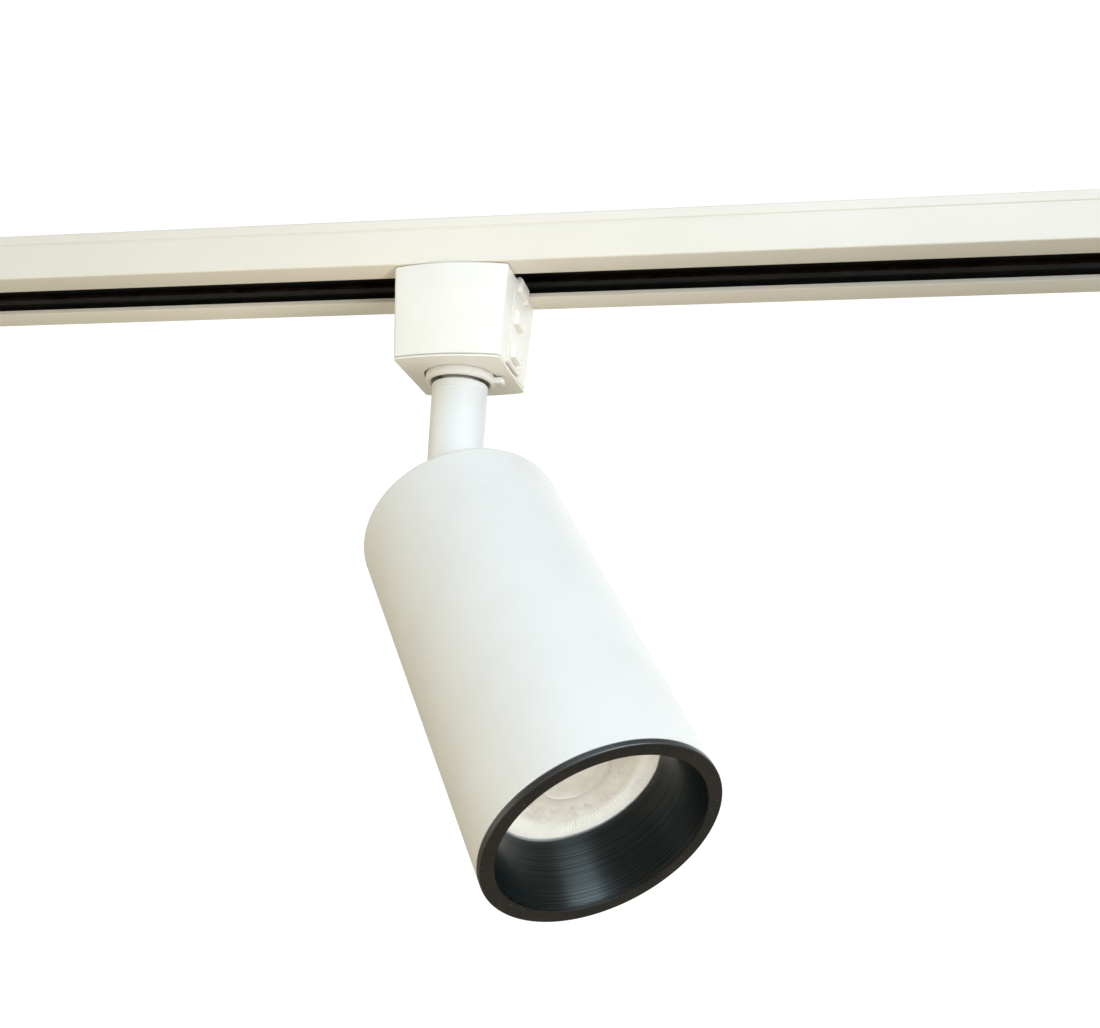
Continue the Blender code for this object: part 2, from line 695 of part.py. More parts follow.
def make_stem_fixings(finish, parent):
    """The washer and the nut that hold the stem's spigot to the bridge."""
    seat = BRIDGE_Z + BRIDGE_THICKNESS - PIVOT_Z + GAP
    hole = SPIGOT_RADIUS + GAP
    piece("stem_washer", washer(hole, 0.0064, seat, seat + WASHER_THICKNESS), finish, parent)
    nut = seat + WASHER_THICKNESS + GAP
    piece("stem_nut", hexagon(0.0100, nut, nut + 0.0024, hole), finish, parent)


def make_pivot_fixings(finishes, parent):
    """The screw and nut through the fork, and a plastic washer on each side of the tongue."""
    flat = FORK_FLAT + GAP
    end = -flat - 0.0024
    profile = [(0.0, flat + 0.0016), (0.0018, flat + 0.0015), (0.0030, flat + 0.0008), (0.0032, flat)]
    profile += [(PIVOT_SHANK, flat), (PIVOT_SHANK, end), (0.0, end)]
    screw = piece("pivot_screw", turned(profile, SMALL_ROUND), finishes["steel"], parent)
    screw.rotation_euler = (math.radians(90), 0, 0)
    nut = piece("pivot_nut", hexagon(0.0056, flat, flat + 0.0020, PIVOT_HOLE), finishes["steel"], parent)
    nut.rotation_euler = (math.radians(-90), 0, 0)
    far = FORK_SLOT / 2 - GAP
    for name, turn in (("tilt_washer_left", -90), ("tilt_washer_right", 90)):
        shape = washer(PIVOT_HOLE, 0.0055, far - WASHER_THICKNESS, far)
        made = piece(name, shape, finishes["black_plastic"], parent)
        made.rotation_euler = (math.radians(turn), 0, 0)


# Head, in its own frame with the tilt pivot at the origin and the light leaving along -Z


def along(profile):
    """Turns (radius, distance from the pivot) points into the head's frame."""
    return [(r, -s) for r, s in profile]


def make_neck(finish, parent):
    """The tongue in the stem's fork, its base disc on the head, and a hollow threaded spigot."""
    base = HEAD_REAR - GAP
    bore = 0.0020
    spigot = NECK_HOLE - GAP
    end = HEAD_REAR + 0.0080
    profile = along([(bore, base - 0.0012), (0.0088, base - 0.0012), (0.0090, base), (spigot, base)])
    profile += along([(spigot, end), (bore, end)])
    neck = piece("head_neck", turned(profile, SMALL_ROUND), finish, parent)
    round_end = 0.0062
    foot = -base + 0.0007
    tongue = arc((0, 0), round_end, 180, 0, 12) + [(round_end, foot), (-round_end, foot)]
    half = FORK_SLOT / 2 - 2 * GAP - WASHER_THICKNESS
    apply_tool(neck, tool("neck_tongue", prism(tongue, -half, half, "Y"), parent), "UNION")
    apply_tool(neck, tool("tongue_hole", rod(PIVOT_HOLE, -0.01, 0.01, along="Y"), parent))


def make_head_body(finish, parent):
    """The round can: a softly rounded rear wall with the neck's hole, open at the front."""
    inner = HEAD_RADIUS - HEAD_WALL
    front = HEAD_FRONT - RING_BAND - GAP
    floor = HEAD_REAR + REAR_WALL
    soft = REAR_INNER_ROUND
    profile = [(NECK_HOLE, HEAD_REAR)]
    profile += arc((HEAD_RADIUS - REAR_ROUND, HEAD_REAR + REAR_ROUND), REAR_ROUND, 270, 360, 4)
    profile += [(HEAD_RADIUS, front), (inner, front), (inner, floor + soft), (inner - soft, floor)]
    profile.append((NECK_HOLE, floor))
    body = piece("head_body", turned(along(profile), BIG_ROUND), finish, parent)
    for side in (-1, 1):
        place = (side * BRACKET_SCREW_X, 0.0)
        hole = rod(BRACKET_SCREW_HOLE, -floor - 0.0015, -HEAD_REAR - 0.0012, place, steps=SCREW_ROUND)
        apply_tool(body, tool("bracket_screw_hole", hole, parent))


def make_neck_nut(finish, parent):
    start = HEAD_REAR + REAR_WALL + GAP
    piece("neck_nut", hexagon(0.0120, -start - 0.0030, -start, NECK_HOLE), finish, parent)


def make_bracket(finish, parent):
    """A hat-section steel strip that holds the lamp socket above the head's rear wall."""
    low = HEAD_REAR + REAR_WALL + GAP
    high = SOCKET_REAR - GAP
    sheet = BRACKET_SHEET
    wide = BRACKET_HALF_X
    foot = BRACKET_FOOT_X
    outer = [(foot, low), (foot, low + sheet), (wide, low + sheet), (wide, high)]
    inner = [(wide - sheet, low), (wide - sheet, high - sheet)]
    outline = outer + [(-x, s) for x, s in reversed(outer)] + [(-x, s) for x, s in inner]
    outline += list(reversed(inner))
    half = BRACKET_HALF_Y
    bracket = piece("lamp_bracket", prism([(x, -s) for x, s in outline], -half, half, "Y"), finish, parent)
    apply_tool(bracket, tool("lead_hole", rod(0.0045, -high - 0.001, -high + 0.003), parent))
    for side in (-1, 1):
        place = (side * BRACKET_SCREW_X, 0.0)
        hole = rod(BRACKET_SCREW_HOLE, -low - 0.002, -low + 0.002, place, steps=SCREW_ROUND)
        apply_tool(bracket, tool("foot_screw_hole", hole, parent))


def make_bracket_screw(name, side, finish, parent):
    """A screw whose head clamps the bracket's foot to the head's rear wall."""
    seat = HEAD_REAR + REAR_WALL + 2 * GAP + BRACKET_SHEET
    shank = BRACKET_SCREW_HOLE - GAP
    end = HEAD_REAR + 0.0016
    profile = along([(0.0, seat + 0.0014), (0.0012, seat + 0.0013), (0.0022, seat + 0.0005), (0.0022, seat)])
    profile += along([(shank, seat), (shank, end), (0.0, end)])
    screw = piece(name, turned(profile, SCREW_ROUND), finish, parent)
    screw.location = (side * BRACKET_SCREW_X, 0.0, 0.0)


def make_socket(finish, parent):
    """A ceramic lamp holder with two pockets for the lamp's pins."""
    top = LAMP_SEAT - GAP
    soft = 0.0006
    outer = SOCKET_RADIUS
    profile = along([(0.0, SOCKET_REAR), (outer - soft, SOCKET_REAR), (outer, SOCKET_REAR + soft)])
    profile += along([(outer, top - soft), (outer - soft, top), (0.0, top)])
    socket = piece("lamp_socket", turned(profile, INNER_ROUND), finish, parent)
    for side in (-1, 1):
        pocket = rod(0.0030, -top - 0.001, -top + 0.0078, (side * PIN_HALF_SPACING, 0.0))
        apply_tool(socket, tool("pin_pocket", pocket, parent))


def make_lamp_housing(finish, parent):
    """The lamp's flared shell, open at the front for the board and the lens."""
    seat = LAMP_SEAT
    front = LAMP_FRONT
    back = front - LAMP_RECESS
    soft = 0.0006
    profile = along([
        (0.0, seat), (0.0120, seat), (0.0126, seat + soft), (0.0130, seat + 0.0120), (0.0155, seat + 0.0160),
        (0.0215, seat + 0.0340), (LAMP_RADIUS, seat + 0.0420), (LAMP_RADIUS, front - soft),
        (LAMP_RADIUS - soft, front), (LAMP_MOUTH, front), (LAMP_MOUTH, front - 0.0140),
        (0.0140, back), (0.0, back),
    ])
    piece("lamp_housing", turned(profile, INNER_ROUND), finish, parent)


def make_lamp_pin(name, side, finish, parent):
    """A lamp pin: a thin neck and a wider foot that the socket's contacts hold."""
    seat = LAMP_SEAT - GAP / 2
    neck = 0.0015
    foot = 0.0024
    profile = along([(0.0, seat), (neck, seat), (neck, seat - 0.0042), (foot, seat - 0.0042)])
    profile += along([(foot, seat - 0.0066), (foot - 0.0003, seat - 0.0070), (0.0, seat - 0.0070)])
    pin = piece(name, turned(profile, 16), finish, parent)
    pin.location = (side * PIN_HALF_SPACING, 0.0, 0.0)


def make_light_source(finishes, parent):
    """The lamp's round board and the yellow chip on it."""
    board = LAMP_FRONT - LAMP_RECESS + GAP
    chip = board + 0.0012 + GAP
    piece("led_board", rod(0.0110, GAP - chip, -board, steps=ROUND), finishes["board_white"], parent)
    piece("led_chip", rod(0.0045, -chip - 0.0008, -chip), finishes["phosphor"], parent)


def make_lens(finish, parent):
    """The lamp's front lens: a disc with a shallow collimator behind its middle."""
    front = LAMP_FRONT - 0.0002
    back = front - LENS_THICKNESS
    deep = back - 0.0090
    profile = along([(0.0, deep), (0.0050, deep), (0.0148, back), (LENS_RADIUS, back), (LENS_RADIUS, front)])
    profile += along([(0.0, front)])
    piece("lamp_lens", turned(profile), finish, parent)


def make_ring(finish, parent):
    """The front ring: a flange flush with the head, a conical mouth and a spigot into the head."""
    spigot = HEAD_RADIUS - HEAD_WALL - RING_CLEARANCE
    back = HEAD_FRONT - RING_DEPTH
    band = HEAD_FRONT - RING_BAND
    edge = 0.0004
    profile = along([
        (spigot, back), (spigot, band), (HEAD_RADIUS, band), (HEAD_RADIUS, HEAD_FRONT - edge),
        (HEAD_RADIUS - edge, HEAD_FRONT), (RING_MOUTH + 0.0003, HEAD_FRONT),
        (RING_MOUTH, HEAD_FRONT - 0.0003), (RING_THROAT, back + 0.0006), (RING_THROAT, back),
    ])
    piece("front_ring", turned(profile, BIG_ROUND), finish, parent)


def make_lead(name, side, finish, parent):
    """A short insulated lead from the neck's bore to the back of the lamp socket."""
    curve = bpy.data.curves.new(name, "CURVE")
    curve.dimensions = "3D"
    curve.bevel_depth = LEAD_RADIUS
    curve.bevel_resolution = 2
    curve.use_fill_caps = True
    spline = curve.splines.new("POLY")
    count = 12
    spline.points.add(count)
    start = LEAD_START
    end = SOCKET_REAR - GAP
    for k, point in enumerate(spline.points):
        share = k / count
        bow = side * (0.0009 + 0.0022 * math.sin(math.pi * share) ** 2 + 0.0010 * share)
        point.co = (bow, 0.0015 * math.sin(math.tau * share), -(start + (end - start) * share), 1.0)
    curve.materials.append(finish)
    made = bpy.data.objects.new(name, curve)
    made.parent = parent
    bpy.context.scene.collection.objects.link(made)


def make_head(finishes, parent):
    make_neck(finishes["white_paint"], parent)
    make_head_body(finishes["white_paint"], parent)
    make_neck_nut(finishes["steel"], parent)
    make_bracket(finishes["steel"], parent)
    make_bracket_screw("bracket_screw_left", -1, finishes["steel"], parent)
    make_bracket_screw("bracket_screw_right", 1, finishes["steel"], parent)
    make_socket(finishes["ceramic"], parent)
    make_lamp_housing(finishes["white_plastic"], parent)
    make_lamp_pin("lamp_pin_left", -1, finishes["brass"], parent)
    make_lamp_pin("lamp_pin_right", 1, finishes["brass"], parent)
    make_light_source(finishes, parent)
    make_lens(finishes["clear_lens"], parent)
    make_lead("lead_live", 1, finishes["brown_wire"], parent)
    make_lead("lead_neutral", -1, finishes["blue_wire"], parent)
    make_ring(finishes["black_paint"], parent)


def main():
    clear_scene()
    finishes = {
        "white_paint": material("white_paint", (0.86, 0.85, 0.81), 0.45),
        "white_plastic": material("white_plastic", (0.84, 0.83, 0.78), 0.40),
        "black_insulator": material("black_insulator", (0.015, 0.015, 0.015), 0.45),
        "black_plastic": material("black_plastic", (0.02, 0.02, 0.02), 0.5),
        "black_paint": material("black_paint", (0.025, 0.026, 0.028), 0.35),
        "copper": material("copper", (0.62, 0.30, 0.18), 0.3, 1.0),
        "brass": material("brass", (0.75, 0.58, 0.30), 0.3, 1.0),
        "steel": material("steel", (0.60, 0.60, 0.60), 0.35, 1.0),
        "ceramic": material("ceramic", (0.78, 0.76, 0.70), 0.5),
        "board_white": material("board_white", (0.85, 0.85, 0.82), 0.5),
        "phosphor": material("phosphor", (0.85, 0.70, 0.15), 0.6),
        "clear_lens": material("clear_lens", (0.80, 0.78, 0.72), 0.15),
        "brown_wire": material("brown_wire", (0.20, 0.08, 0.03), 0.5),
        "blue_wire": material("blue_wire", (0.03, 0.10, 0.35), 0.5),
    }
    make_track(finishes)
    make_adapter(finishes)
    pivot = (0.0, 0.0, PIVOT_Z)
    stem = frame("pan_axis", pivot, (0.0, 0.0, PAN))
    make_stem(finishes["white_paint"], stem)
    make_stem_fixings(finishes["steel"], stem)
    make_pivot_fixings(finishes, stem)
    make_head(finishes, frame("tilt_axis", (0.0, 0.0, 0.0), (0.0, -TILT, 0.0), stem))


main()
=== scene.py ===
"""Looks for the track spotlight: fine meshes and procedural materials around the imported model."""

import json
import math

import bmesh
import bpy
from mathutils import Matrix, Vector


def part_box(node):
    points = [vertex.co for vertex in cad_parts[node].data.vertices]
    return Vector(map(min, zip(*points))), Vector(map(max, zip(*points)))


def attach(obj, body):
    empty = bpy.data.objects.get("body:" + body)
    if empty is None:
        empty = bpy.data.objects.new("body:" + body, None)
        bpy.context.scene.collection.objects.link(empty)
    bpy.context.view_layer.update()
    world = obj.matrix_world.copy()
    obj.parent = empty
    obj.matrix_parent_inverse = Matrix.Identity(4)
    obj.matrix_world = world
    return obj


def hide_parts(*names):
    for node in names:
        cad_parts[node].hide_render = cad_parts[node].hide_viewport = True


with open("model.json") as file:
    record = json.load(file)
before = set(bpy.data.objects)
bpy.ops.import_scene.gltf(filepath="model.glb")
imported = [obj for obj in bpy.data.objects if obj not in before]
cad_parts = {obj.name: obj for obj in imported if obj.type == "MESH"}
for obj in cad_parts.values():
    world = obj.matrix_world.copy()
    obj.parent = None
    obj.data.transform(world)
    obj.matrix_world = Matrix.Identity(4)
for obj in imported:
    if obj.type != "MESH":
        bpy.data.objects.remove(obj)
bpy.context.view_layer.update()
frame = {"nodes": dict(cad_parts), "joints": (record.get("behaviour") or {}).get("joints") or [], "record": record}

FINE = 160
MEDIUM = 96
SMALL = 48


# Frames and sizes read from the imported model


JOINTS = {joint["name"]: joint for joint in frame["joints"]}


def basis(origin, x, y, z):
    """A matrix whose columns are the given axes, at an origin."""
    made = Matrix((x, y, z)).transposed().to_4x4()
    made.translation = origin
    return made


def make_frames():
    """The row, stem and head frames. The head's light leaves along its own -Z from the tilt pivot."""
    pivot = Vector(JOINTS["head_tilt"]["pos_m"])
    beam = Vector(JOINTS["ring_pull"]["axis"]).normalized()
    side = -Vector(JOINTS["head_tilt"]["axis"]).normalized()
    up = Vector((0.0, 0.0, 1.0))
    stem = basis(pivot, side.cross(up), side, up)
    head = basis(pivot, side.cross(-beam), side, -beam)
    return Matrix.Identity(4), stem, head


ROW, STEM, HEAD = make_frames()


def span(node, matrix):
    """A CAD node's lowest and highest corner in a frame's own axes."""
    inverse = matrix.inverted()
    points = [inverse @ vert.co for vert in frame["nodes"][node].data.vertices]
    low = Vector([min(point[k] for point in points) for k in range(3)])
    high = Vector([max(point[k] for point in points) for k in range(3)])
    return low, high


# The front ring's cone, as radii at its mouth and throat, and its front band
MOUTH = 0.0240
THROAT = 0.0197
BAND = 0.0013
RING_EDGE = 0.00035
SPIGOT_INSET = 0.0021
CONE_STEPS = 60
CONE_STEP_RISE = 0.000008

# The lamp's front: where its clear middle meets the ribbed band, the band, and its ribs
LENS_EDGE = 0.0143
RIBS_INNER = LENS_EDGE + 0.0003
RIBS_OUTER = 0.0179
RIB_COUNT = 150
RIB_HEIGHT = 0.00020

# The rail: half its slot, the line along its sides, its rounded edges and its fixing holes
SLOT_HALF = 0.0083
SIDE_LINE_Z = -0.0030
SIDE_LINE_STEP = 0.0003
SIDE_LINE_DEPTH = 0.00035
RAIL_TOP_EDGE = 0.0008
RAIL_LOW_EDGE = 0.0005
LIP_EDGE = 0.00025
FIXING_X = 0.120
FIXING_RADIUS = 0.0022

# The end caps: the plate's thickness and edges, and the plug behind it
CAP_PLATE = 0.0025
CAP_EDGE = 0.0012
PLUG_HALF_Y = 0.0086
PLUG_BOTTOM = -0.0112
PLUG_TOP = -0.0019

# How far one solid reaches into the next where two are joined, and how far a cut passes a face
JOIN = 0.0003
PAST = 0.001

# The adapter's shell: walls, end wall block, the pawl's window and the screw holes in its top
SHELL_TOP_WALL = 0.0018
SHELL_SIDE_WALL = 0.0022
INNER_CORNER = 0.0006
END_BLOCK_X = (0.0122, 0.0150)
END_BLOCK_HALF_Y = 0.0085
ROTOR_HOLE_RADIUS = 0.0079
LATCH_RECESS = 0.0013
WINDOW_X = (0.0102, 0.020)
WINDOW_HALF_Y = 0.0018
WINDOW_Z = (-0.0300, -0.0225)
SCREW_HOLE_RADIUS = 0.0010
SCREW_Y = 0.0121

# The adapter's base: lip and spring post
LIP_INSET = 0.0028
LIP_REACH_X = 0.0118
LIP_HEIGHT = 0.0012
POST_X = (0.0104, 0.0119)
POST_HALF_Y = 0.0022

# The locking collar and its finger bar
COLLAR_INNER = 0.0083
COLLAR_WALL_INNER = 0.0089
COLLAR_FOOT = 0.0008
FINGER_HALF = 0.0009
FINGER_HOOK_Y = 0.0022
FINGER_HOOK_X = 0.0011

# The latch: its plate, grip lugs with their heels and slits, and its tab
LATCH_BACK = -0.0010
LATCH_PLATE = 0.0009
LUG_COUNT = 3
LUG_PITCH = 0.0100
LUG_HEIGHT = 0.0047
LUG_HALF_Y = 0.0042
LUG_ROOT = 0.00045
LUG_OUT = 0.00165
LUG_SLOPE = 0.0008
HEEL_WIDTH = 0.0010
HEEL_HEIGHT = 0.0008
SLIT_HEIGHT = 0.0005
SLIT_DEPTH = 0.0006
TAB_HALF_Y = 0.0014
TAB_Z = (-0.0262, -0.0242)

# The stem: bore, spigot, groove, and the fork at its foot
STEM_BORE = 0.0019
STEM_BORE_TOP = 0.0030
STEM_NECK = 0.0052
STEM_FOOT = 0.00758
STEM_BELOW = 0.0100
SPIGOT = 0.0056
COLLAR_GAP = 0.0005
SEAM_DROP = 0.0024
SEAM_DEPTH = 0.0001
STEM_EDGE = 0.0002
FORK_TOP = 0.0070
FORK_SLOT_HALF = 0.0032
FORK_SLOT_REACH = 0.0144
FORK_FLAT_Y = 0.0062
FORK_CUT = 0.0120
PIVOT_HOLE = 0.0022

# The head's can
HEAD_WALL = 0.0017
HEAD_FILLET = 0.0030
HEAD_FRONT_EDGE = 0.00012
HEAD_REAR_WALL = 0.0025
HEAD_CHAMFER = 0.0012
HEAD_BORE = 0.0043
BRACKET_HOLE = 0.0013
BRACKET_HOLE_X = 0.0170


# Mesh helpers


def arc(centre, radius, start, end, count):
    """Points on an arc, angles in degrees."""
    points = []
    for k in range(count + 1):
        turn = math.radians(start + (end - start) * k / count)
        points.append((centre[0] + radius * math.cos(turn), centre[1] + radius * math.sin(turn)))
    return points


def new_piece(name, bm, matrix=ROW, sharp=30.0):
    """An object whose points are in the row's axes, from a mesh made in a frame's own axes."""
    bmesh.ops.recalc_face_normals(bm, faces=bm.faces)
    mesh = bpy.data.meshes.new(name)
    bm.to_mesh(mesh)
    bm.free()
    mesh.transform(matrix)
    mesh.shade_smooth()
    mesh.set_sharp_from_angle(angle=math.radians(sharp))
    made = bpy.data.objects.new(name, mesh)
    bpy.context.scene.collection.objects.link(made)
    return made


def turned(profile, steps=MEDIUM):
    """A solid of revolution about Z from a closed outline of (radius, z) points."""
    bm = bmesh.new()
    points = [bm.verts.new((r, 0.0, z)) for r, z in profile]
    edges = []
    for start, end in zip(points, points[1:] + points[:1]):
        if max(start.co.x, end.co.x) > 0.0:
            edges.append(bm.edges.new((start, end)))
    bmesh.ops.spin(
        bm, geom=points + edges, cent=(0, 0, 0), axis=(0, 0, 1), angle=math.tau, steps=steps, use_merge=True
    )
    bmesh.ops.remove_doubles(bm, verts=bm.verts, dist=1e-6)
    return bm


def prism(outline, start, end, along="Z"):
    """An outline extruded along an axis. The outline's points are the other two axes, in order."""
    axis = "XYZ".index(along)
    step = [0.0, 0.0, 0.0]
    step[axis] = end - start
    bm = bmesh.new()
    points = []
    for pair in outline:
        point = list(pair)
        point.insert(axis, start)
        points.append(bm.verts.new(point))
    face = bm.faces.new(points)
    moved = bmesh.ops.extrude_face_region(bm, geom=[face])["geom"]
    bmesh.ops.translate(bm, vec=step, verts=[v for v in moved if isinstance(v, bmesh.types.BMVert)])
    return bm


def block(low, high):
    """A box between two corners."""
    bm = bmesh.new()
    bmesh.ops.create_cube(bm, size=1.0)
    size = Vector(high) - Vector(low)
    centre = (Vector(high) + Vector(low)) / 2
    placed = Matrix.Translation(centre) @ Matrix.Diagonal((*size, 1.0))
    bmesh.ops.transform(bm, matrix=placed, verts=bm.verts)
    return bm


def rod(radius, start, end, centre=(0.0, 0.0), along="Z", steps=SMALL):
    """A round bar between two places on an axis."""
    turns = [math.tau * k / steps for k in range(steps)]
    outline = [(centre[0] + radius * math.cos(turn), centre[1] + radius * math.sin(turn)) for turn in turns]
    return prism(outline, start, end, along)


def bevel(target, width, segments=3, angle=35.0):
    made = target.modifiers.new("rounded_edges", "BEVEL")
    made.width = width
    made.segments = segments
    made.limit_method = "ANGLE"
    made.angle_limit = math.radians(angle)
    made.harden_normals = False


def combine(target, shapes, operation, matrix=ROW):
    """Cuts the shapes from the target, or joins them to it, and bakes the result into its mesh."""
    others = []
    for shape in shapes:
        other = new_piece("shape", shape, matrix)
        others.append(other)
        step = target.modifiers.new("shape", "BOOLEAN")
        step.operation = operation
        step.object = other
    bake(target)
    for other in others:
        bpy.data.objects.remove(other)


def baked_mesh(made):
    """A helper piece's finished mesh, with the piece itself removed."""
    bake(made)
    shape = bmesh.new()
    shape.from_mesh(made.data)
    bpy.data.objects.remove(made)
    return shape


def bake(target):
    """Replaces a piece's mesh with what its modifiers make."""
    bpy.context.view_layer.update()
    graph = bpy.context.evaluated_depsgraph_get()
    done = bpy.data.meshes.new_from_object(target.evaluated_get(graph))
    target.modifiers.clear()
    target.data = done
    done.shade_smooth()
    done.set_sharp_from_angle(angle=math.radians(30.0))


def place(made, body, node, finish, slot):
    """Gives a piece its finish and its body, and hides the CAD node that it stands for."""
    made.data.materials.clear()
    made.data.materials.append(finish)
    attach(made, body)
    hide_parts(node)


# Material helpers


class Surface:
    """A node material around one Principled shader."""

    def __init__(self, name, roughness, metallic=0.0):
        self.material = bpy.data.materials.new(name)
        self.material.use_nodes = True
        self.tree = self.material.node_tree
        self.shader = self.tree.nodes["Principled BSDF"]
        self.set("Roughness", roughness)
        self.set("Metallic", metallic)
        self.place = self.add("ShaderNodeTexCoord").outputs["Object"]

    def add(self, kind, **values):
        node = self.tree.nodes.new(kind)
        for key, value in values.items():
            setattr(node, key, value)
        return node

    def set(self, socket, value):
        self.shader.inputs[socket].default_value = value

    def link(self, source, target):
        self.tree.links.new(source, target)

    def seen_from(self, matrix):
        """The place in another frame's axes."""
        inverse = matrix.inverted()
        node = self.add("ShaderNodeMapping")
        node.inputs["Location"].default_value = inverse.translation
        node.inputs["Rotation"].default_value = inverse.to_euler("XYZ")
        self.link(self.place, node.inputs["Vector"])
        return node.outputs["Vector"]

    def length(self, x, y):
        """The distance from the axis of two coordinates."""
        flat = self.add("ShaderNodeCombineXYZ")
        self.link(x, flat.inputs["X"])
        self.link(y, flat.inputs["Y"])
        node = self.add("ShaderNodeVectorMath", operation="LENGTH")
        self.link(flat.outputs["Vector"], node.inputs[0])
        return node.outputs["Value"]

    def stretched(self, scale):
        """The place, scaled differently along each axis."""
        node = self.add("ShaderNodeMapping")
        node.inputs["Scale"].default_value = scale
        self.link(self.place, node.inputs["Vector"])
        return node.outputs["Vector"]

    def noise(self, scale, detail=3.0, roughness=0.55, place=None):
        node = self.add("ShaderNodeTexNoise")
        node.inputs["Scale"].default_value = scale
        node.inputs["Detail"].default_value = detail
        node.inputs["Roughness"].default_value = roughness
        self.link(place or self.place, node.inputs["Vector"])
        return node.outputs["Fac"]

    def remap(self, value, low, high, to_low, to_high):
        node = self.add("ShaderNodeMapRange")
        numbers = {"From Min": low, "From Max": high, "To Min": to_low, "To Max": to_high}
        for socket, number in numbers.items():
            node.inputs[socket].default_value = number
        self.link(value, node.inputs["Value"])
        return node.outputs["Result"]

    def math(self, operation, first, second):
        node = self.add("ShaderNodeMath", operation=operation)
        for socket, value in zip(node.inputs, (first, second)):
            if isinstance(value, (int, float)):
                socket.default_value = value
            else:
                self.link(value, socket)
        return node.outputs["Value"]

    def mix(self, share, dark, light):
        """A colour between two, by a share. Each colour is three numbers or a colour socket."""
        node = self.add("ShaderNodeMix", data_type="RGBA")
        self.link(share, node.inputs["Factor"])
        for socket, value in ((node.inputs[6], dark), (node.inputs[7], light)):
            if isinstance(value, tuple):
                socket.default_value = (*value, 1.0)
            else:
                self.link(value, socket)
        return node.outputs[2]

    def color(self, source):
        self.link(source, self.shader.inputs["Base Color"])

    def vary_roughness(self, source):
        self.link(source, self.shader.inputs["Roughness"])

    def bump(self, height, distance, strength=1.0):
        node = self.add("ShaderNodeBump")
        node.inputs["Strength"].default_value = strength
        node.inputs["Distance"].default_value = distance
        self.link(height, node.inputs["Height"])
        previous = self.shader.inputs["Normal"].links
        if previous:
            self.link(previous[0].from_socket, node.inputs["Normal"])
        self.link(node.outputs["Normal"], self.shader.inputs["Normal"])

    def worn(self, radius):
        """A mask that is 1 along edges, from the bevel shader's normal against the face's own."""
        rounded = self.add("ShaderNodeBevel", samples=4)
        rounded.inputs["Radius"].default_value = radius
        flat = self.add("ShaderNodeNewGeometry").outputs["Normal"]
        dot = self.add("ShaderNodeVectorMath", operation="DOT_PRODUCT")
        self.link(rounded.outputs["Normal"], dot.inputs[0])
        self.link(flat, dot.inputs[1])
        return self.remap(dot.outputs["Value"], 0.98, 0.75, 0.0, 1.0)


def powder_coat(name, dark, light):
    """Matt white powder coat: fine orange peel, faint clouding and tiny specks in the gloss."""
    made = Surface(name, 0.45)
    cloud = made.noise(28.0, 4.0)
    made.color(made.mix(made.remap(cloud, 0.35, 0.68, 0.0, 1.0), dark, light))
    grain = made.noise(1500.0, 2.0)
    made.vary_roughness(made.remap(grain, 0.3, 0.7, 0.40, 0.54))
    made.bump(made.noise(900.0, 2.0), 0.00004, 0.35)
    made.bump(made.noise(260.0, 1.0), 0.00008, 0.22)
    made.set("Specular IOR Level", 0.42)
    return made.material


def rail_coat():
    """White coat over an extrusion: faint lines along the rail and a fine peel."""
    made = Surface("rail_coat", 0.4)
    cloud = made.noise(14.0, 4.0)
    share = made.remap(cloud, 0.35, 0.68, 0.0, 1.0)
    made.color(made.mix(share, (0.800, 0.748, 0.660), (0.842, 0.795, 0.708)))
    drawn = made.noise(1.0, 3.0, 0.6, made.stretched((3.0, 1400.0, 1400.0)))
    made.vary_roughness(made.remap(drawn, 0.3, 0.7, 0.34, 0.48))
    made.bump(drawn, 0.00003, 0.4)
    made.bump(made.noise(700.0, 2.0), 0.00004, 0.25)
    return made.material


def moulded(name, dark, light, roughness=0.42):
    """Satin moulded plastic: spark-eroded grain, faint flow clouding, paler handled edges."""
    made = Surface(name, roughness)
    cloud = made.noise(60.0, 4.0)
    body = made.mix(made.remap(cloud, 0.35, 0.68, 0.0, 1.0), dark, light)
    edge = made.math("MULTIPLY", made.worn(0.0004), 0.35)
    made.color(made.mix(edge, body, tuple(min(1.0, value * 1.04) for value in light)))
    grain = made.noise(2200.0, 3.0)
    made.vary_roughness(made.remap(grain, 0.3, 0.7, roughness - 0.05, roughness + 0.08))
    made.bump(grain, 0.00003, 0.4)
    made.set("Specular IOR Level", 0.45)
    return made.material


def black_extrusion():
    """Black extruded insulator: drawn lines along the rail and a dusty haze."""
    made = Surface("black_extrusion", 0.5)
    drawn = made.noise(1.0, 3.0, 0.6, made.stretched((4.0, 1800.0, 1800.0)))
    dust = made.noise(180.0, 4.0)
    share = made.remap(dust, 0.45, 0.75, 0.0, 1.0)
    made.color(made.mix(share, (0.0150, 0.0158, 0.0160), (0.0230, 0.0235, 0.0235)))
    made.vary_roughness(made.remap(drawn, 0.3, 0.7, 0.42, 0.62))
    made.bump(drawn, 0.00004, 0.5)
    return made.material


def black_moulded():
    """Black moulded plastic with a fine grain and a faint cloud."""
    made = Surface("black_moulded", 0.5)
    grain = made.noise(1800.0, 3.0)
    cloud = made.noise(90.0, 3.0)
    made.color(made.mix(made.remap(cloud, 0.35, 0.7, 0.0, 1.0), (0.012, 0.012, 0.013), (0.024, 0.024, 0.025)))
    made.vary_roughness(made.remap(grain, 0.3, 0.7, 0.44, 0.6))
    made.bump(grain, 0.00003, 0.45)
    return made.material


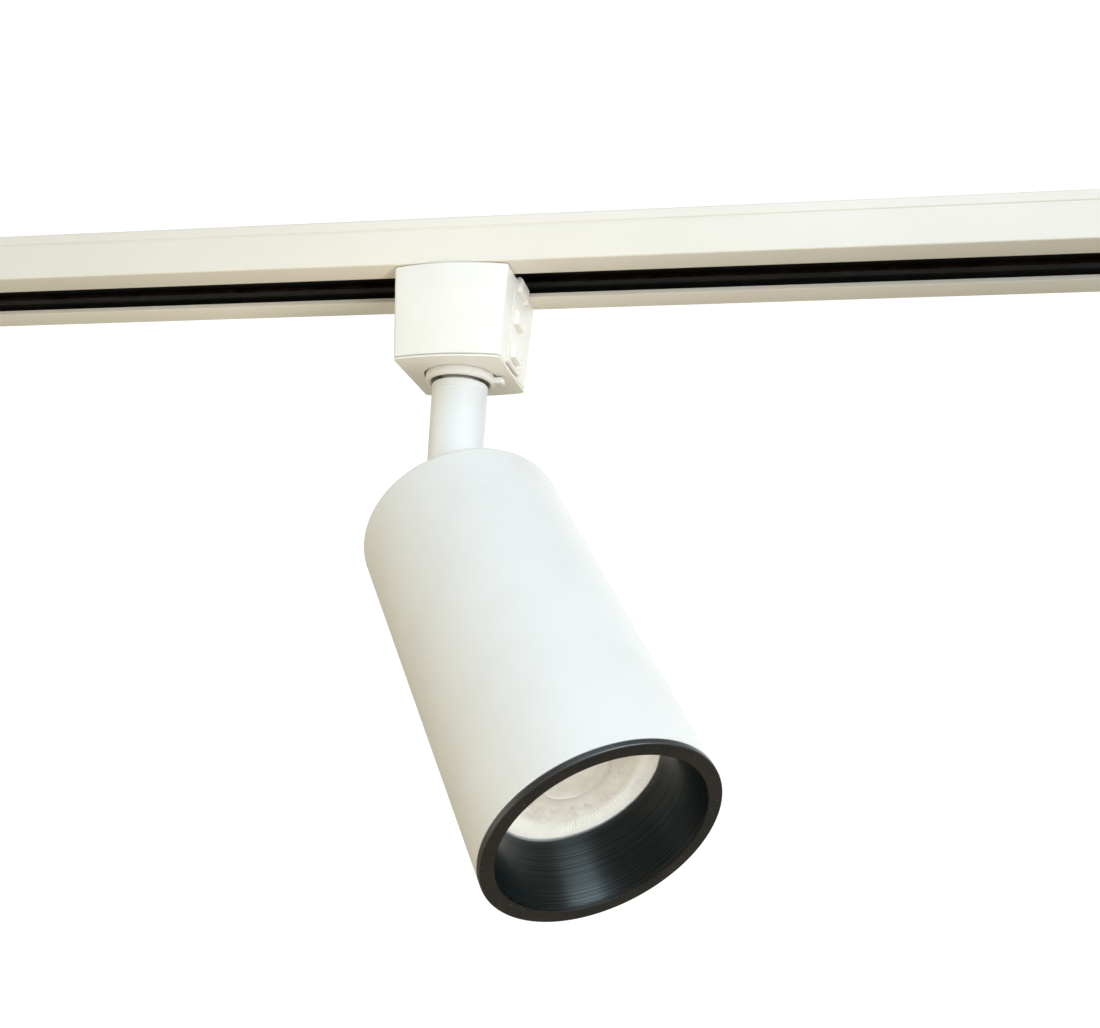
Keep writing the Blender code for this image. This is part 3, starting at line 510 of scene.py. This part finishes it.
def turned_black():
    """Black coated ring: a sheen on its rim, partly real gloss and partly a painted reflection in its lighter,
    greyer colour, a dull speckled face and a bluer, finely turned throat.
    """
    made = Surface("turned_black", 0.4)
    axis = made.add("ShaderNodeSeparateXYZ")
    made.link(made.seen_from(HEAD), axis.inputs["Vector"])
    depth = axis.outputs["Z"]
    radius = made.length(axis.outputs["X"], axis.outputs["Y"])
    lowest, highest = span("front_ring", HEAD)
    bands = []
    for scale in (9000.0, 2600.0):
        band = made.add("ShaderNodeTexNoise", noise_dimensions="1D")
        band.inputs["Scale"].default_value = scale
        band.inputs["Detail"].default_value = 2.0
        made.link(depth, band.inputs["W"])
        bands.append(band.outputs["Fac"])
    lines = made.math("ADD", made.math("MULTIPLY", bands[0], 0.5), made.math("MULTIPLY", bands[1], 0.5))
    speck = made.noise(1400.0, 3.0)
    drift = made.noise(60.0, 2.0)
    streak = made.remap(lines, 0.35, 0.65, 0.0, 1.0)
    throat = made.mix(streak, (0.0012, 0.0036, 0.0038), (0.0026, 0.0068, 0.0072))
    grain = made.remap(speck, 0.35, 0.7, 0.0, 1.0)
    face = made.mix(grain, (0.0070, 0.0060, 0.0045), (0.0150, 0.0130, 0.0105))
    face = made.mix(made.remap(drift, 0.45, 0.7, 0.0, 0.6), face, (0.020, 0.0145, 0.0125))
    dust = made.remap(made.noise(2600.0, 2.0), 0.69, 0.75, 0.0, 0.7)
    face = made.mix(dust, face, (0.20, 0.17, 0.13))
    # The rim's lighter, greyer colour is a painted reflection of the sky; its lower roughness and higher specular
    # are real gloss.
    rim = made.mix(grain, (0.016, 0.0165, 0.0165), (0.027, 0.028, 0.028))
    deep = made.remap(depth, lowest.z + 0.00028, lowest.z + 0.00045, 0.0, 1.0)
    within = made.math("MULTIPLY", deep, made.remap(radius, MOUTH + 0.0012, MOUTH + 0.0008, 0.0, 1.0))
    on_rim = made.remap(radius, highest.x - 0.00030, highest.x - 0.00012, 0.0, 1.0)
    made.color(made.mix(within, made.mix(on_rim, face, rim), throat))
    rough_face = made.remap(speck, 0.3, 0.7, 0.50, 0.64)
    rough_rim = made.math("SUBTRACT", rough_face, made.math("MULTIPLY", on_rim, 0.16))
    rough_throat = made.remap(lines, 0.35, 0.65, 0.30, 0.36)
    gap = made.math("SUBTRACT", rough_throat, rough_rim)
    made.vary_roughness(made.math("ADD", rough_rim, made.math("MULTIPLY", gap, within)))
    throat_shine = made.math("MULTIPLY", within, made.remap(lines, 0.38, 0.62, 0.10, 0.50))
    shine = made.math("ADD", made.math("MULTIPLY", on_rim, 0.45), throat_shine)
    made.link(made.math("ADD", shine, 0.18), made.shader.inputs["Specular IOR Level"])
    along = made.add("ShaderNodeCombineXYZ")
    for socket, value in zip(along.inputs, HEAD.col[2].xyz):
        socket.default_value = value
    made.link(along.outputs["Vector"], made.shader.inputs["Tangent"])
    made.link(made.math("MULTIPLY", within, 0.78), made.shader.inputs["Anisotropic"])
    made.bump(lines, 0.00003, 0.45)
    made.bump(speck, 0.00004, 0.30)
    return made.material


def bare_metal(name, dark, light, roughness, grain=(900.0, 900.0, 900.0), bump=0.35):
    """Bare metal with scratches, a stain that drifts in colour, and duller patches."""
    made = Surface(name, roughness, 1.0)
    stain = made.noise(120.0, 4.0)
    made.color(made.mix(made.remap(stain, 0.35, 0.7, 0.0, 1.0), dark, light))
    lines = made.noise(1.0, 3.0, 0.6, made.stretched(grain))
    made.vary_roughness(made.remap(lines, 0.3, 0.7, roughness - 0.08, roughness + 0.12))
    made.bump(lines, 0.00003, bump)
    return made.material


def steatite():
    """Unglazed ceramic: chalky, with fine pits and a few darker grains."""
    made = Surface("steatite", 0.6)
    grains = made.noise(900.0, 4.0)
    cloud = made.noise(70.0, 3.0)
    body = made.mix(made.remap(cloud, 0.35, 0.7, 0.0, 1.0), (0.66, 0.63, 0.56), (0.78, 0.76, 0.70))
    made.color(made.mix(made.remap(grains, 0.66, 0.74, 0.0, 0.5), body, (0.42, 0.38, 0.32)))
    made.bump(grains, 0.00006, 0.5)
    made.set("Subsurface Weight", 0.1)
    made.set("Subsurface Scale", 0.001)
    return made.material


def insulation(name, dark, light):
    """A wire's soft plastic cover."""
    made = Surface(name, 0.38)
    cloud = made.noise(400.0, 3.0)
    made.color(made.mix(made.remap(cloud, 0.35, 0.7, 0.0, 1.0), dark, light))
    made.bump(made.noise(1600.0, 2.0), 0.00003, 0.4)
    return made.material


def phosphor():
    """The yellow, grainy layer over the light-emitting chip."""
    made = Surface("phosphor", 0.55)
    grains = made.noise(2600.0, 3.0)
    made.color(made.mix(made.remap(grains, 0.35, 0.7, 0.0, 1.0), (0.72, 0.55, 0.10), (0.90, 0.76, 0.22)))
    made.bump(grains, 0.00004, 0.4)
    return made.material


def lens_plastic():
    """Milky moulded optic: a bright rim and ribbed band round a creamier, glossier middle."""
    made = Surface("lamp_optic", 0.2)
    axis = made.add("ShaderNodeSeparateXYZ")
    made.link(made.seen_from(HEAD), axis.inputs["Vector"])
    radius = made.length(axis.outputs["X"], axis.outputs["Y"])
    flow = made.noise(240.0, 4.0)
    middle = made.mix(made.remap(flow, 0.35, 0.7, 0.0, 1.0), (0.66, 0.63, 0.56), (0.76, 0.74, 0.68))
    rim = made.mix(made.remap(flow, 0.35, 0.7, 0.0, 1.0), (0.88, 0.88, 0.84), (0.93, 0.93, 0.90))
    made.color(made.mix(made.remap(radius, LENS_EDGE - 0.0003, LENS_EDGE + 0.0012, 0.0, 1.0), middle, rim))
    made.vary_roughness(made.remap(flow, 0.3, 0.7, 0.12, 0.26))
    made.bump(made.noise(500.0, 2.0), 0.00003, 0.25)
    outside = made.remap(radius, 0.0108, 0.0116, 0.0, 1.0)
    facets = made.math("MULTIPLY", outside, made.remap(radius, LENS_EDGE, LENS_EDGE - 0.0006, 0.0, 1.0))
    chips = made.math("MULTIPLY", facets, made.remap(made.noise(420.0, 1.0), 0.50, 0.62, 0.0, 1.0))
    made.bump(chips, 0.0004, 0.6)
    made.set("IOR", 1.49)
    made.set("Transmission Weight", 0.06)
    made.set("Coat Weight", 0.35)
    made.set("Coat Roughness", 0.06)
    return made.material


ALONG_RAIL = (6.0, 1500.0, 1500.0)

FINISHES = {
    "white_paint": powder_coat("head_coat", (0.840, 0.827, 0.800), (0.895, 0.888, 0.866)),
    "rail": rail_coat(),
    "white_plastic": moulded("white_moulded", (0.845, 0.818, 0.762), (0.895, 0.870, 0.818)),
    "black_insulator": black_extrusion(),
    "black_plastic": black_moulded(),
    "black_paint": turned_black(),
    "copper": bare_metal("copper_strip", (0.060, 0.036, 0.028), (0.16, 0.10, 0.075), 0.4, ALONG_RAIL),
    "brass": bare_metal("brass_turned", (0.55, 0.40, 0.17), (0.78, 0.62, 0.34), 0.28),
    "steel": bare_metal("zinc_steel", (0.46, 0.47, 0.48), (0.66, 0.66, 0.66), 0.34, (300.0, 1400.0, 1400.0)),
    "ceramic": steatite(),
    "board_white": moulded("board_mask", (0.78, 0.78, 0.75), (0.86, 0.86, 0.84), 0.35),
    "phosphor": phosphor(),
    "clear_lens": lens_plastic(),
    "brown_wire": insulation("brown_wire", (0.10, 0.035, 0.012), (0.18, 0.07, 0.03)),
    "blue_wire": insulation("blue_wire", (0.012, 0.05, 0.20), (0.03, 0.11, 0.36)),
}


# Rail


def make_rail():
    """The aluminium section with finely rounded edges, a line along each side and two fixing holes."""
    low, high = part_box("rail_extrusion")
    half = high.y
    bottom = low.z
    wall = -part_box("insulator_rear")[1].z - JOIN
    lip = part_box("insulator_rear")[0].z - JOIN
    groove = half - SIDE_LINE_DEPTH
    inner = SLOT_HALF + LIP_EDGE
    side = arc((half - RAIL_TOP_EDGE, -RAIL_TOP_EDGE), RAIL_TOP_EDGE, 90, 0, 8)
    for step, y in enumerate((half, groove, groove, half)):
        side.append((y, SIDE_LINE_Z - step * SIDE_LINE_STEP))
    side += arc((half - RAIL_LOW_EDGE, bottom + RAIL_LOW_EDGE), RAIL_LOW_EDGE, 0, -90, 6)
    side += arc((inner, bottom + LIP_EDGE), LIP_EDGE, 270, 180, 3)
    side += arc((inner, lip - LIP_EDGE), LIP_EDGE, 180, 90, 3)
    side += [(half - wall, lip), (half - wall, -wall)]
    outline = side + [(-y, z) for y, z in reversed(side)]
    rail = new_piece("rail", prism(outline, low.x, high.x, "X"))
    depth = (-0.005, 0.002)
    holes = [rod(FIXING_RADIUS, *depth, (side_x * FIXING_X, 0.0)) for side_x in (-1, 1)]
    combine(rail, holes, "DIFFERENCE")
    place(rail, "track", "rail_extrusion", FINISHES["rail"], "white_paint")


def make_end_cap(name, node):
    """A moulded cap: rounded plate and its plug."""
    low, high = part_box(node)
    outward = 1 if high.x > 0 else -1
    ends = (high.x - CAP_PLATE, high.x) if outward > 0 else (low.x, low.x + CAP_PLATE)
    side = arc((high.y - CAP_EDGE, -CAP_EDGE), CAP_EDGE, 90, 0, 6)
    side += arc((high.y - CAP_EDGE, low.z + CAP_EDGE), CAP_EDGE, 0, -90, 6)
    outline = side + [(-y, z) for y, z in reversed(side)]
    cap = new_piece(name, prism(outline, *ends, "X"))
    bevel(cap, 0.0005, 3)
    bake(cap)
    inner = (low.x, ends[0] + JOIN) if outward > 0 else (ends[1] - JOIN, high.x)
    plug = block((inner[0], -PLUG_HALF_Y, PLUG_BOTTOM), (inner[1], PLUG_HALF_Y, PLUG_TOP))
    combine(cap, [plug], "UNION")
    place(cap, "track", node, FINISHES["white_plastic"], "white_plastic")


# Adapter


def adapter_plan(inset, half_x, corner_y, bulge_y, corner=0.0012, steps=20):
    """Flat ends, arched front and rear faces and rounded corners."""
    half = half_x - inset
    rise = bulge_y - corner_y
    radius = (half_x**2 + rise**2) / (2 * rise)
    centre = bulge_y - radius
    reach = radius - inset
    slope = math.asin((half - corner) / reach)
    touch = centre + (reach - corner) * math.cos(slope)
    side_x = (reach - corner) * math.sin(slope)
    front = []
    for k in range(steps + 1):
        turn = -slope + 2 * slope * k / steps
        front.append((reach * math.sin(turn), -(centre + reach * math.cos(turn))))
    end = []
    for k in range(1, 6):
        turn = slope + (math.pi / 2 - slope) * k / 5
        end.append((side_x + corner * math.sin(turn), -(touch + corner * math.cos(turn))))
    near = [(-x, y) for x, y in reversed(end)] + front + end
    return near + [(-x, -y) for x, y in near]


ADAPTER_LOW, ADAPTER_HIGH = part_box("adapter_housing")
COVER_LOW, COVER_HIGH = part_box("adapter_cover")
ADAPTER_CORNER_Y = 0.0162
ADAPTER_PLAN = (ADAPTER_HIGH.x, ADAPTER_CORNER_Y, ADAPTER_HIGH.y)
ADAPTER_DRAFT = 0.92
COVER_RIM = 0.0006


def draft_at(z):
    """How much narrower the adapter is at a height than at its top."""
    return 1.0 - (1.0 - ADAPTER_DRAFT) * (ADAPTER_HIGH.z - z) / (ADAPTER_HIGH.z - COVER_LOW.z)


def drafted(bm):
    """Narrows a shape downwards, as the mould's draft does."""
    for vert in bm.verts:
        scale = draft_at(vert.co.z)
        vert.co.x *= scale
        vert.co.y *= scale
    return bm


def end_strip(behind, before, low, high, half_y):
    """A strip that follows the drafted end face, between two depths measured from it."""
    spots = ((low, behind), (low, before), (high, before), (high, behind))
    outline = [(ADAPTER_HIGH.x * draft_at(z) + offset, z) for z, offset in spots]
    return prism(outline, -half_y, half_y, "Y")


def make_housing():
    """The shell: softly rounded edges, the latch's recess and window, and the holes in its top."""
    low = ADAPTER_LOW.z
    top = ADAPTER_HIGH.z
    housing = new_piece("adapter_shell", drafted(prism(adapter_plan(0.0, *ADAPTER_PLAN), low, top)))
    bevel(housing, 0.0004, 4, 50.0)
    bake(housing)
    ceiling = top - SHELL_TOP_WALL
    room_plan = adapter_plan(SHELL_SIDE_WALL, *ADAPTER_PLAN, INNER_CORNER)
    combine(housing, [drafted(prism(room_plan, low - PAST, ceiling))], "DIFFERENCE")
    near_end, far_end = END_BLOCK_X
    wall = block((near_end, -END_BLOCK_HALF_Y, low), (far_end, END_BLOCK_HALF_Y, ceiling + JOIN * 2))
    combine(housing, [wall], "UNION")
    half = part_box("end_latch")[1].y + JOIN
    through = top + PAST
    window = [(x, side * WINDOW_HALF_Y, z) for x, side, z in zip(WINDOW_X, (-1, 1), WINDOW_Z)]
    cuts = [
        rod(ROTOR_HOLE_RADIUS, ceiling - PAST, through, steps=MEDIUM),
        end_strip(-LATCH_RECESS, 0.003, low - PAST, through, half),
        block(*window),
    ]
    for side in (-1, 1):
        cuts.append(rod(SCREW_HOLE_RADIUS, ceiling - PAST, through, (0.0, side * SCREW_Y), steps=16))
    combine(housing, cuts, "DIFFERENCE")
    place(housing, "adapter", "adapter_housing", FINISHES["white_plastic"], "white_plastic")


def make_cover():
    """The base plate with its thin rim, and the round hole that the collar stands in."""
    low = COVER_LOW.z
    rim_top = low + COVER_RIM
    middle = rim_top - COVER_RIM / 2
    outline = [(x * ADAPTER_DRAFT, y * ADAPTER_DRAFT) for x, y in adapter_plan(0.0, *ADAPTER_PLAN)]
    cover = new_piece("adapter_base", prism(outline, low, rim_top))
    bevel(cover, 0.00018, 3, 50.0)
    bake(cover)
    inside = adapter_plan(LIP_INSET, *ADAPTER_PLAN, INNER_CORNER)
    lip = [(min(x * ADAPTER_DRAFT, LIP_REACH_X), y * ADAPTER_DRAFT) for x, y in inside]
    post = block((POST_X[0], -POST_HALF_Y, middle), (POST_X[1], POST_HALF_Y, COVER_HIGH.z))
    combine(cover, [prism(lip, middle, rim_top + LIP_HEIGHT), post], "UNION")
    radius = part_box("locking_lever")[1].y + JOIN * 2
    combine(cover, [rod(radius, low - PAST, COVER_HIGH.z + PAST, steps=MEDIUM)], "DIFFERENCE")
    place(cover, "adapter", "adapter_cover", FINISHES["white_plastic"], "white_plastic")


def make_lever():
    """The collar with a full round foot, and the L-shaped finger bar."""
    low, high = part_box("locking_lever")
    outer = high.y
    foot = COLLAR_FOOT
    profile = arc((COLLAR_INNER + foot, low.z + foot), foot, 180, 270, 6)
    profile += arc((outer - foot, low.z + foot), foot, 270, 360, 6)
    profile += [(outer, high.z), (COLLAR_WALL_INNER, high.z)]
    profile += [(COLLAR_WALL_INNER, low.z + 0.0020), (COLLAR_INNER, low.z + 0.0014)]
    ring = new_piece("lock_collar", turned(profile, MEDIUM))
    half = FINGER_HALF
    root = (COLLAR_WALL_INNER + outer) / 2
    tip = high.x - FINGER_HOOK_X
    bar = [(root, -half), (high.x, -half), (high.x, FINGER_HOOK_Y)]
    bar += [(tip, FINGER_HOOK_Y), (tip, half), (root, half)]
    finger = new_piece("finger", prism(bar, low.z + 0.0001, COVER_LOW.z - 0.0006))
    bevel(finger, 0.0003, 3)
    combine(ring, [baked_mesh(finger)], "UNION")
    place(ring, "contact_lock", "locking_lever", FINISHES["white_plastic"], "white_plastic")


def make_lug(upper):
    """A grip lug with its sloped upper edge, and the heel at its rear lower end."""
    lower = upper - LUG_HEIGHT
    root = ADAPTER_HIGH.x * draft_at((upper + lower) / 2) + LATCH_BACK + LATCH_PLATE - LUG_ROOT
    out = root + LUG_OUT
    half = LUG_HALF_Y
    outline = [(root, lower), (out, lower + 0.0002), (out, upper - LUG_SLOPE)]
    outline += [(out - LUG_SLOPE, upper), (root, upper)]
    lug = new_piece("lug", prism(outline, -half, half, "Y"))
    bevel(lug, 0.00022, 3)
    start = (root, half - HEEL_WIDTH, lower - HEEL_HEIGHT)
    heel = new_piece("heel", block(start, (out - 0.0002, half, lower + 0.0004)))
    bevel(heel, 0.00025, 3)
    return [baked_mesh(lug), baked_mesh(heel)]


def make_slit(upper):
    """The narrow slit in the plate under a lug."""
    high = upper - LUG_HEIGHT
    low = high - SLIT_HEIGHT
    face = ADAPTER_HIGH.x * draft_at(low) + LATCH_BACK + LATCH_PLATE
    return block((face - SLIT_DEPTH, -LUG_HALF_Y, low), (face + PAST, LUG_HALF_Y - HEEL_WIDTH, high))


def make_latch():
    """The latch plate, three bevelled grip lugs with their heels, and the spring tab."""
    low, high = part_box("end_latch")
    face = LATCH_BACK + LATCH_PLATE
    plate = end_strip(LATCH_BACK, face, low.z, ADAPTER_HIGH.z - 0.0001, high.y)
    latch = new_piece("latch_plate", plate)
    bevel(latch, 0.00015, 2)
    bake(latch)
    tops = [high.z - k * LUG_PITCH for k in range(LUG_COUNT)]
    joined = [shape for upper in tops for shape in make_lug(upper)]
    inside = ADAPTER_HIGH.x * draft_at(sum(TAB_Z) / 2) + LATCH_BACK + 0.0004
    joined.append(block((low.x, -TAB_HALF_Y, TAB_Z[0]), (inside, TAB_HALF_Y, TAB_Z[1])))
    combine(latch, joined, "UNION")
    combine(latch, [make_slit(upper) for upper in tops], "DIFFERENCE")
    place(latch, "latch", "end_latch", FINISHES["white_plastic"], "white_plastic")


# Stem


def make_stem():
    """The tapered tube, its spigot and the round-ended fork with flats and a pivot hole."""
    low, high = span("stem_tube", STEM)
    shoulder = high.z - SPIGOT
    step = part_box("locking_lever")[0].z - STEM.translation.z - COLLAR_GAP
    top = high.x
    seam = step - SEAM_DROP
    profile = [(STEM_BORE, high.z), (STEM_BORE, -STEM_BELOW), (STEM_FOOT, -STEM_BELOW), (STEM_FOOT, 0.0)]
    profile += [(top, seam - SEAM_DEPTH), (top - SEAM_DEPTH, seam), (top, seam + SEAM_DEPTH)]
    profile += arc((top - STEM_EDGE, step - STEM_EDGE), STEM_EDGE, 0, 90, 3)
    profile += [(STEM_NECK, step), (STEM_NECK, shoulder)]
    profile += [(STEM_BORE_TOP, shoulder), (STEM_BORE_TOP, high.z)]
    stem = new_piece("stem", turned(profile, MEDIUM), STEM)
    reach = FORK_SLOT_REACH
    cuts = [block((-reach, -FORK_SLOT_HALF, -reach), (reach, FORK_SLOT_HALF, FORK_TOP))]
    clear = FORK_CUT + PAST
    for side in (-1, 1):
        ends = sorted((side * FORK_FLAT_Y, side * (clear + PAST)))
        cuts.append(block((-clear, ends[0], -clear), (clear, ends[1], FORK_TOP)))
    cuts.append(rod(PIVOT_HOLE, -clear, clear, along="Y"))
    wide = FORK_CUT
    below = arc((0, 0), STEM_FOOT, 180, 360, 24)
    below += [(wide, 0.0), (wide, -wide), (-wide, -wide), (-wide, 0.0)]
    cuts.append(prism(below, -wide, wide, "Y"))
    combine(stem, cuts, "DIFFERENCE", STEM)
    place(stem, "stem", "stem_tube", FINISHES["white_paint"], "white_paint")


# Head


def down(profile):
    """Turns (radius, distance from the pivot) points into the head's frame."""
    return [(r, -s) for r, s in profile]


def make_head():
    """The painted can: a soft rear edge, a crisp front edge and a hollow inside."""
    low, high = span("head_body", HEAD)
    radius = high.x
    rear = -high.z
    front = -low.z
    inner = radius - HEAD_WALL
    floor = rear + HEAD_REAR_WALL
    profile = [(HEAD_BORE, rear)]
    profile += arc((radius - HEAD_FILLET, rear + HEAD_FILLET), HEAD_FILLET, 270, 360, 14)
    profile += [(radius, front - HEAD_FRONT_EDGE), (radius - HEAD_FRONT_EDGE, front), (inner, front)]
    profile += [(inner, floor + HEAD_CHAMFER), (inner - HEAD_CHAMFER, floor), (HEAD_BORE, floor)]
    body = new_piece("head_shell", turned(down(profile), FINE), HEAD)
    holes = []
    for side in (-1, 1):
        holes.append(rod(BRACKET_HOLE, -rear - 0.0012, -0.0140, (side * BRACKET_HOLE_X, 0.0), steps=24))
    combine(body, holes, "DIFFERENCE", HEAD)
    place(body, "head", "head_body", FINISHES["white_paint"], "white_paint")


def make_ring():
    """The black ring: rounded face edges and a conical mouth with shallow turned steps."""
    low, high = span("front_ring", HEAD)
    radius = high.x
    front = -low.z
    back = -high.z
    spigot = radius - SPIGOT_INSET
    profile = [(spigot, back), (spigot, front - BAND), (radius, front - BAND)]
    profile += arc((radius - RING_EDGE, front - RING_EDGE), RING_EDGE, 0, 90, 5)
    profile += arc((MOUTH + RING_EDGE, front - RING_EDGE), RING_EDGE, 90, 180, 5)
    first = front - 0.0012
    last = back + 0.0006
    for k in range(CONE_STEPS):
        share = k / CONE_STEPS
        here = MOUTH + (THROAT - MOUTH) * share
        depth = first + (last - first) * share
        profile.append((here, depth))
        profile.append((here - CONE_STEP_RISE, depth + (last - first) * 0.3 / CONE_STEPS))
    profile += [(THROAT, last), (THROAT, back)]
    ring = new_piece("front_trim", turned(down(profile), FINE), HEAD, 40.0)
    place(ring, "ring", "front_ring", FINISHES["black_paint"], "black_paint")


def lens_profile(outer):
    """The front's (radius, depth below its highest face, share of a full rib) from the rim to the middle."""
    shape = [(outer, 0.0022, 0.0), (outer, 0.0002, 0.0), (0.0194, 0.0, 0.0)]
    shape.append((RIBS_OUTER + 0.0003, 0.0001, 0.0))
    for k in range(7):
        share = k / 6
        strength = math.sin(math.pi * share) ** 0.5
        shape.append((RIBS_OUTER + (RIBS_INNER - RIBS_OUTER) * share, 0.0001 + 0.0003 * share, strength))
    bowl = [(LENS_EDGE, 0.0004), (LENS_EDGE - 0.0003, 0.0006), (0.0130, 0.0010), (0.0110, 0.0014)]
    ridge = [(0.0088, 0.0016), (0.0085, 0.00140), (0.0083, 0.0013), (0.0081, 0.00140), (0.0078, 0.0017)]
    middle = [(0.0040, 0.0019), (0.0015, 0.0020)]
    return shape + [(r, depth, 0.0) for r, depth in bowl + ridge + middle]


def make_lens():
    """The lamp's front: a smooth rim, a band of fine ribs, and a bowl with a low round ridge."""
    low, high = span("lamp_lens", HEAD)
    front = -low.z
    steps = RIB_COUNT * 4
    bm = bmesh.new()
    loops = []
    for radius, depth, strength in lens_profile(high.x):
        loop = []
        for k in range(steps):
            turn = math.tau * k / steps
            rib = RIB_HEIGHT * strength if k % 4 == 1 else 0.0
            place_at = (radius * math.cos(turn), radius * math.sin(turn), -(front - depth - rib))
            loop.append(bm.verts.new(place_at))
        loops.append(loop)
    for one, two in zip(loops, loops[1:]):
        for k in range(steps):
            after = (k + 1) % steps
            bm.faces.new((one[k], one[after], two[after], two[k]))
    bm.faces.new(loops[-1])
    bm.faces.new(list(reversed(loops[0])))
    lens = new_piece("lamp_front_lens", bm, HEAD, 40.0)
    place(lens, "head", "lamp_lens", FINISHES["clear_lens"], "clear_lens")


# The CAD nodes that stay


def dress(node, finish):
    """A carried-over node: welded, smooth across its facets, sharp at its edges."""
    made = frame["nodes"][node]
    made.data.materials.clear()
    made.data.materials.append(FINISHES[finish])
    for polygon in made.data.polygons:
        polygon.use_smooth = True
    weld = made.modifiers.new("weld", "WELD")
    weld.merge_threshold = 0.00001
    split = made.modifiers.new("sharp_edges", "EDGE_SPLIT")
    split.split_angle = math.radians(32.0)


def dress_nodes():
    for entry in frame["record"]["subparts"]:
        dress(entry["node"], entry["material_slot"])


# Stage


def make_stage():
    """A wide pale floor well below the hanging part."""
    floor = new_piece("floor", block((-2.6, -2.6, -1.02), (2.6, 2.6, -1.00)))
    paint = Surface("floor_paint", 0.7)
    cloud = paint.noise(3.0, 3.0)
    paint.color(paint.mix(paint.remap(cloud, 0.3, 0.7, 0.0, 1.0), (0.80, 0.79, 0.77), (0.84, 0.83, 0.81)))
    seen = paint.add("ShaderNodeLightPath").outputs["Is Camera Ray"]
    paint.link(paint.math("MULTIPLY", seen, 1.0), paint.shader.inputs["Emission Strength"])
    paint.set("Emission Color", (0.36, 0.40, 0.48, 1.0))
    floor.data.materials.append(paint.material)


def make_world():
    """Pale all round: a white backdrop for the camera, and softer, warmer light from below."""
    world = bpy.data.worlds.new("studio")
    bpy.context.scene.world = world
    world.use_nodes = True
    nodes = world.node_tree.nodes
    links = world.node_tree.links
    place = nodes.new("ShaderNodeTexCoord")
    split = nodes.new("ShaderNodeSeparateXYZ")
    ramp = nodes.new("ShaderNodeValToRGB")
    level = nodes.new("ShaderNodeMapRange")
    level.inputs["From Min"].default_value = -1.0
    level.inputs["From Max"].default_value = 1.0
    links.new(place.outputs["Generated"], split.inputs["Vector"])
    links.new(split.outputs["Z"], level.inputs["Value"])
    links.new(level.outputs["Result"], ramp.inputs["Fac"])
    stops = ramp.color_ramp.elements
    stops[0].position = 0.46
    stops[0].color = (0.25, 0.22, 0.19, 1.0)
    stops[1].position = 0.54
    stops[1].color = (0.394, 0.351, 0.235, 1.0)
    lit = nodes["Background"]
    lit.inputs["Strength"].default_value = 1.0
    links.new(ramp.outputs["Color"], lit.inputs["Color"])
    seen = nodes.new("ShaderNodeBackground")
    seen.inputs["Color"].default_value = (1.0, 1.0, 1.0, 1.0)
    seen.inputs["Strength"].default_value = 1.1
    rays = nodes.new("ShaderNodeLightPath")
    both = nodes.new("ShaderNodeMixShader")
    links.new(rays.outputs["Is Camera Ray"], both.inputs["Fac"])
    links.new(lit.outputs["Background"], both.inputs[1])
    links.new(seen.outputs["Background"], both.inputs[2])
    links.new(both.outputs["Shader"], nodes["World Output"].inputs["Surface"])


def area_light(name, place, size, power, color):
    """A square soft light aimed at the middle of the object."""
    data = bpy.data.lights.new(name, "AREA")
    data.size = size
    data.energy = power
    data.color = color
    light = bpy.data.objects.new(name, data)
    aim = Vector((0.02, -0.02, -0.08))
    light.location = place
    light.rotation_mode = "QUATERNION"
    light.rotation_quaternion = (aim - Vector(place)).to_track_quat("-Z", "Y")
    bpy.context.scene.collection.objects.link(light)
    return light


def make_lights():
    """Cool light from the right and above, warmer light from the left, and two lights for the mouth."""
    area_light("key", (0.7, -0.75, -0.05), 0.7, 7.7, (0.752, 0.876, 1.0))
    area_light("right_side", (1.0, -0.15, -0.05), 0.7, 0.8, (0.84, 0.88, 1.0))
    area_light("left_fill", (-0.95, -0.3, -0.2), 0.7, 3.15, (1.0, 0.959, 0.783))
    area_light("above", (0.1, -0.75, 0.6), 0.7, 3.7, (0.591, 0.766, 1.0))
    area_light("behind", (0.3, 0.9, 0.3), 0.7, 2.6, (0.85, 0.93, 1.0))
    pivot = HEAD.translation
    beam = -HEAD.col[2].xyz
    narrow = area_light("mouth_light", pivot + beam * 0.75, 0.08, 0.035, (1.0, 0.9, 0.75))
    narrow.data.spread = math.radians(22.0)
    narrow.rotation_quaternion = (-beam).to_track_quat("-Z", "Y")
    narrow.visible_glossy = False
    sheen = area_light("throat_sheen", (0.62, -0.66, 0.30), 0.55, 10.0, (0.66, 0.90, 1.0))
    sheen.visible_diffuse = False
    sheen.visible_transmission = False
    lit = bpy.data.collections.new("sheen_on_ring")
    lit.objects.link(bpy.data.objects["front_trim"])
    sheen.light_linking.receiver_collection = lit


def make_camera():
    """Below and to the right of the stem, looking up at the rail."""
    data = bpy.data.cameras.new("camera")
    data.sensor_width = 36.0
    data.lens = 39.98
    data.shift_x = -0.0727
    data.shift_y = -0.0218
    data.clip_start = 0.01
    camera = bpy.data.objects.new("camera", data)
    place = Matrix.Translation((0.10089, -0.32000, -0.16110))
    turn = Matrix.Rotation(0.1570, 4, "Z") @ Matrix.Rotation(math.pi / 2 + 0.2572, 4, "X")
    camera.matrix_world = place @ turn @ Matrix.Rotation(0.0315, 4, "Z")
    bpy.context.scene.collection.objects.link(camera)
    bpy.context.scene.camera = camera


def main():
    make_camera()
    make_world()
    make_stage()
    dress_nodes()
    make_rail()
    make_end_cap("rail_cap_left", "end_cap_left")
    make_end_cap("rail_cap_right", "end_cap_right")
    make_housing()
    make_cover()
    make_lever()
    make_latch()
    make_stem()
    make_head()
    make_ring()
    make_lens()
    make_lights()
    bpy.context.scene.view_settings.view_transform = "Standard"


main()
bpy.context.view_layer.update()
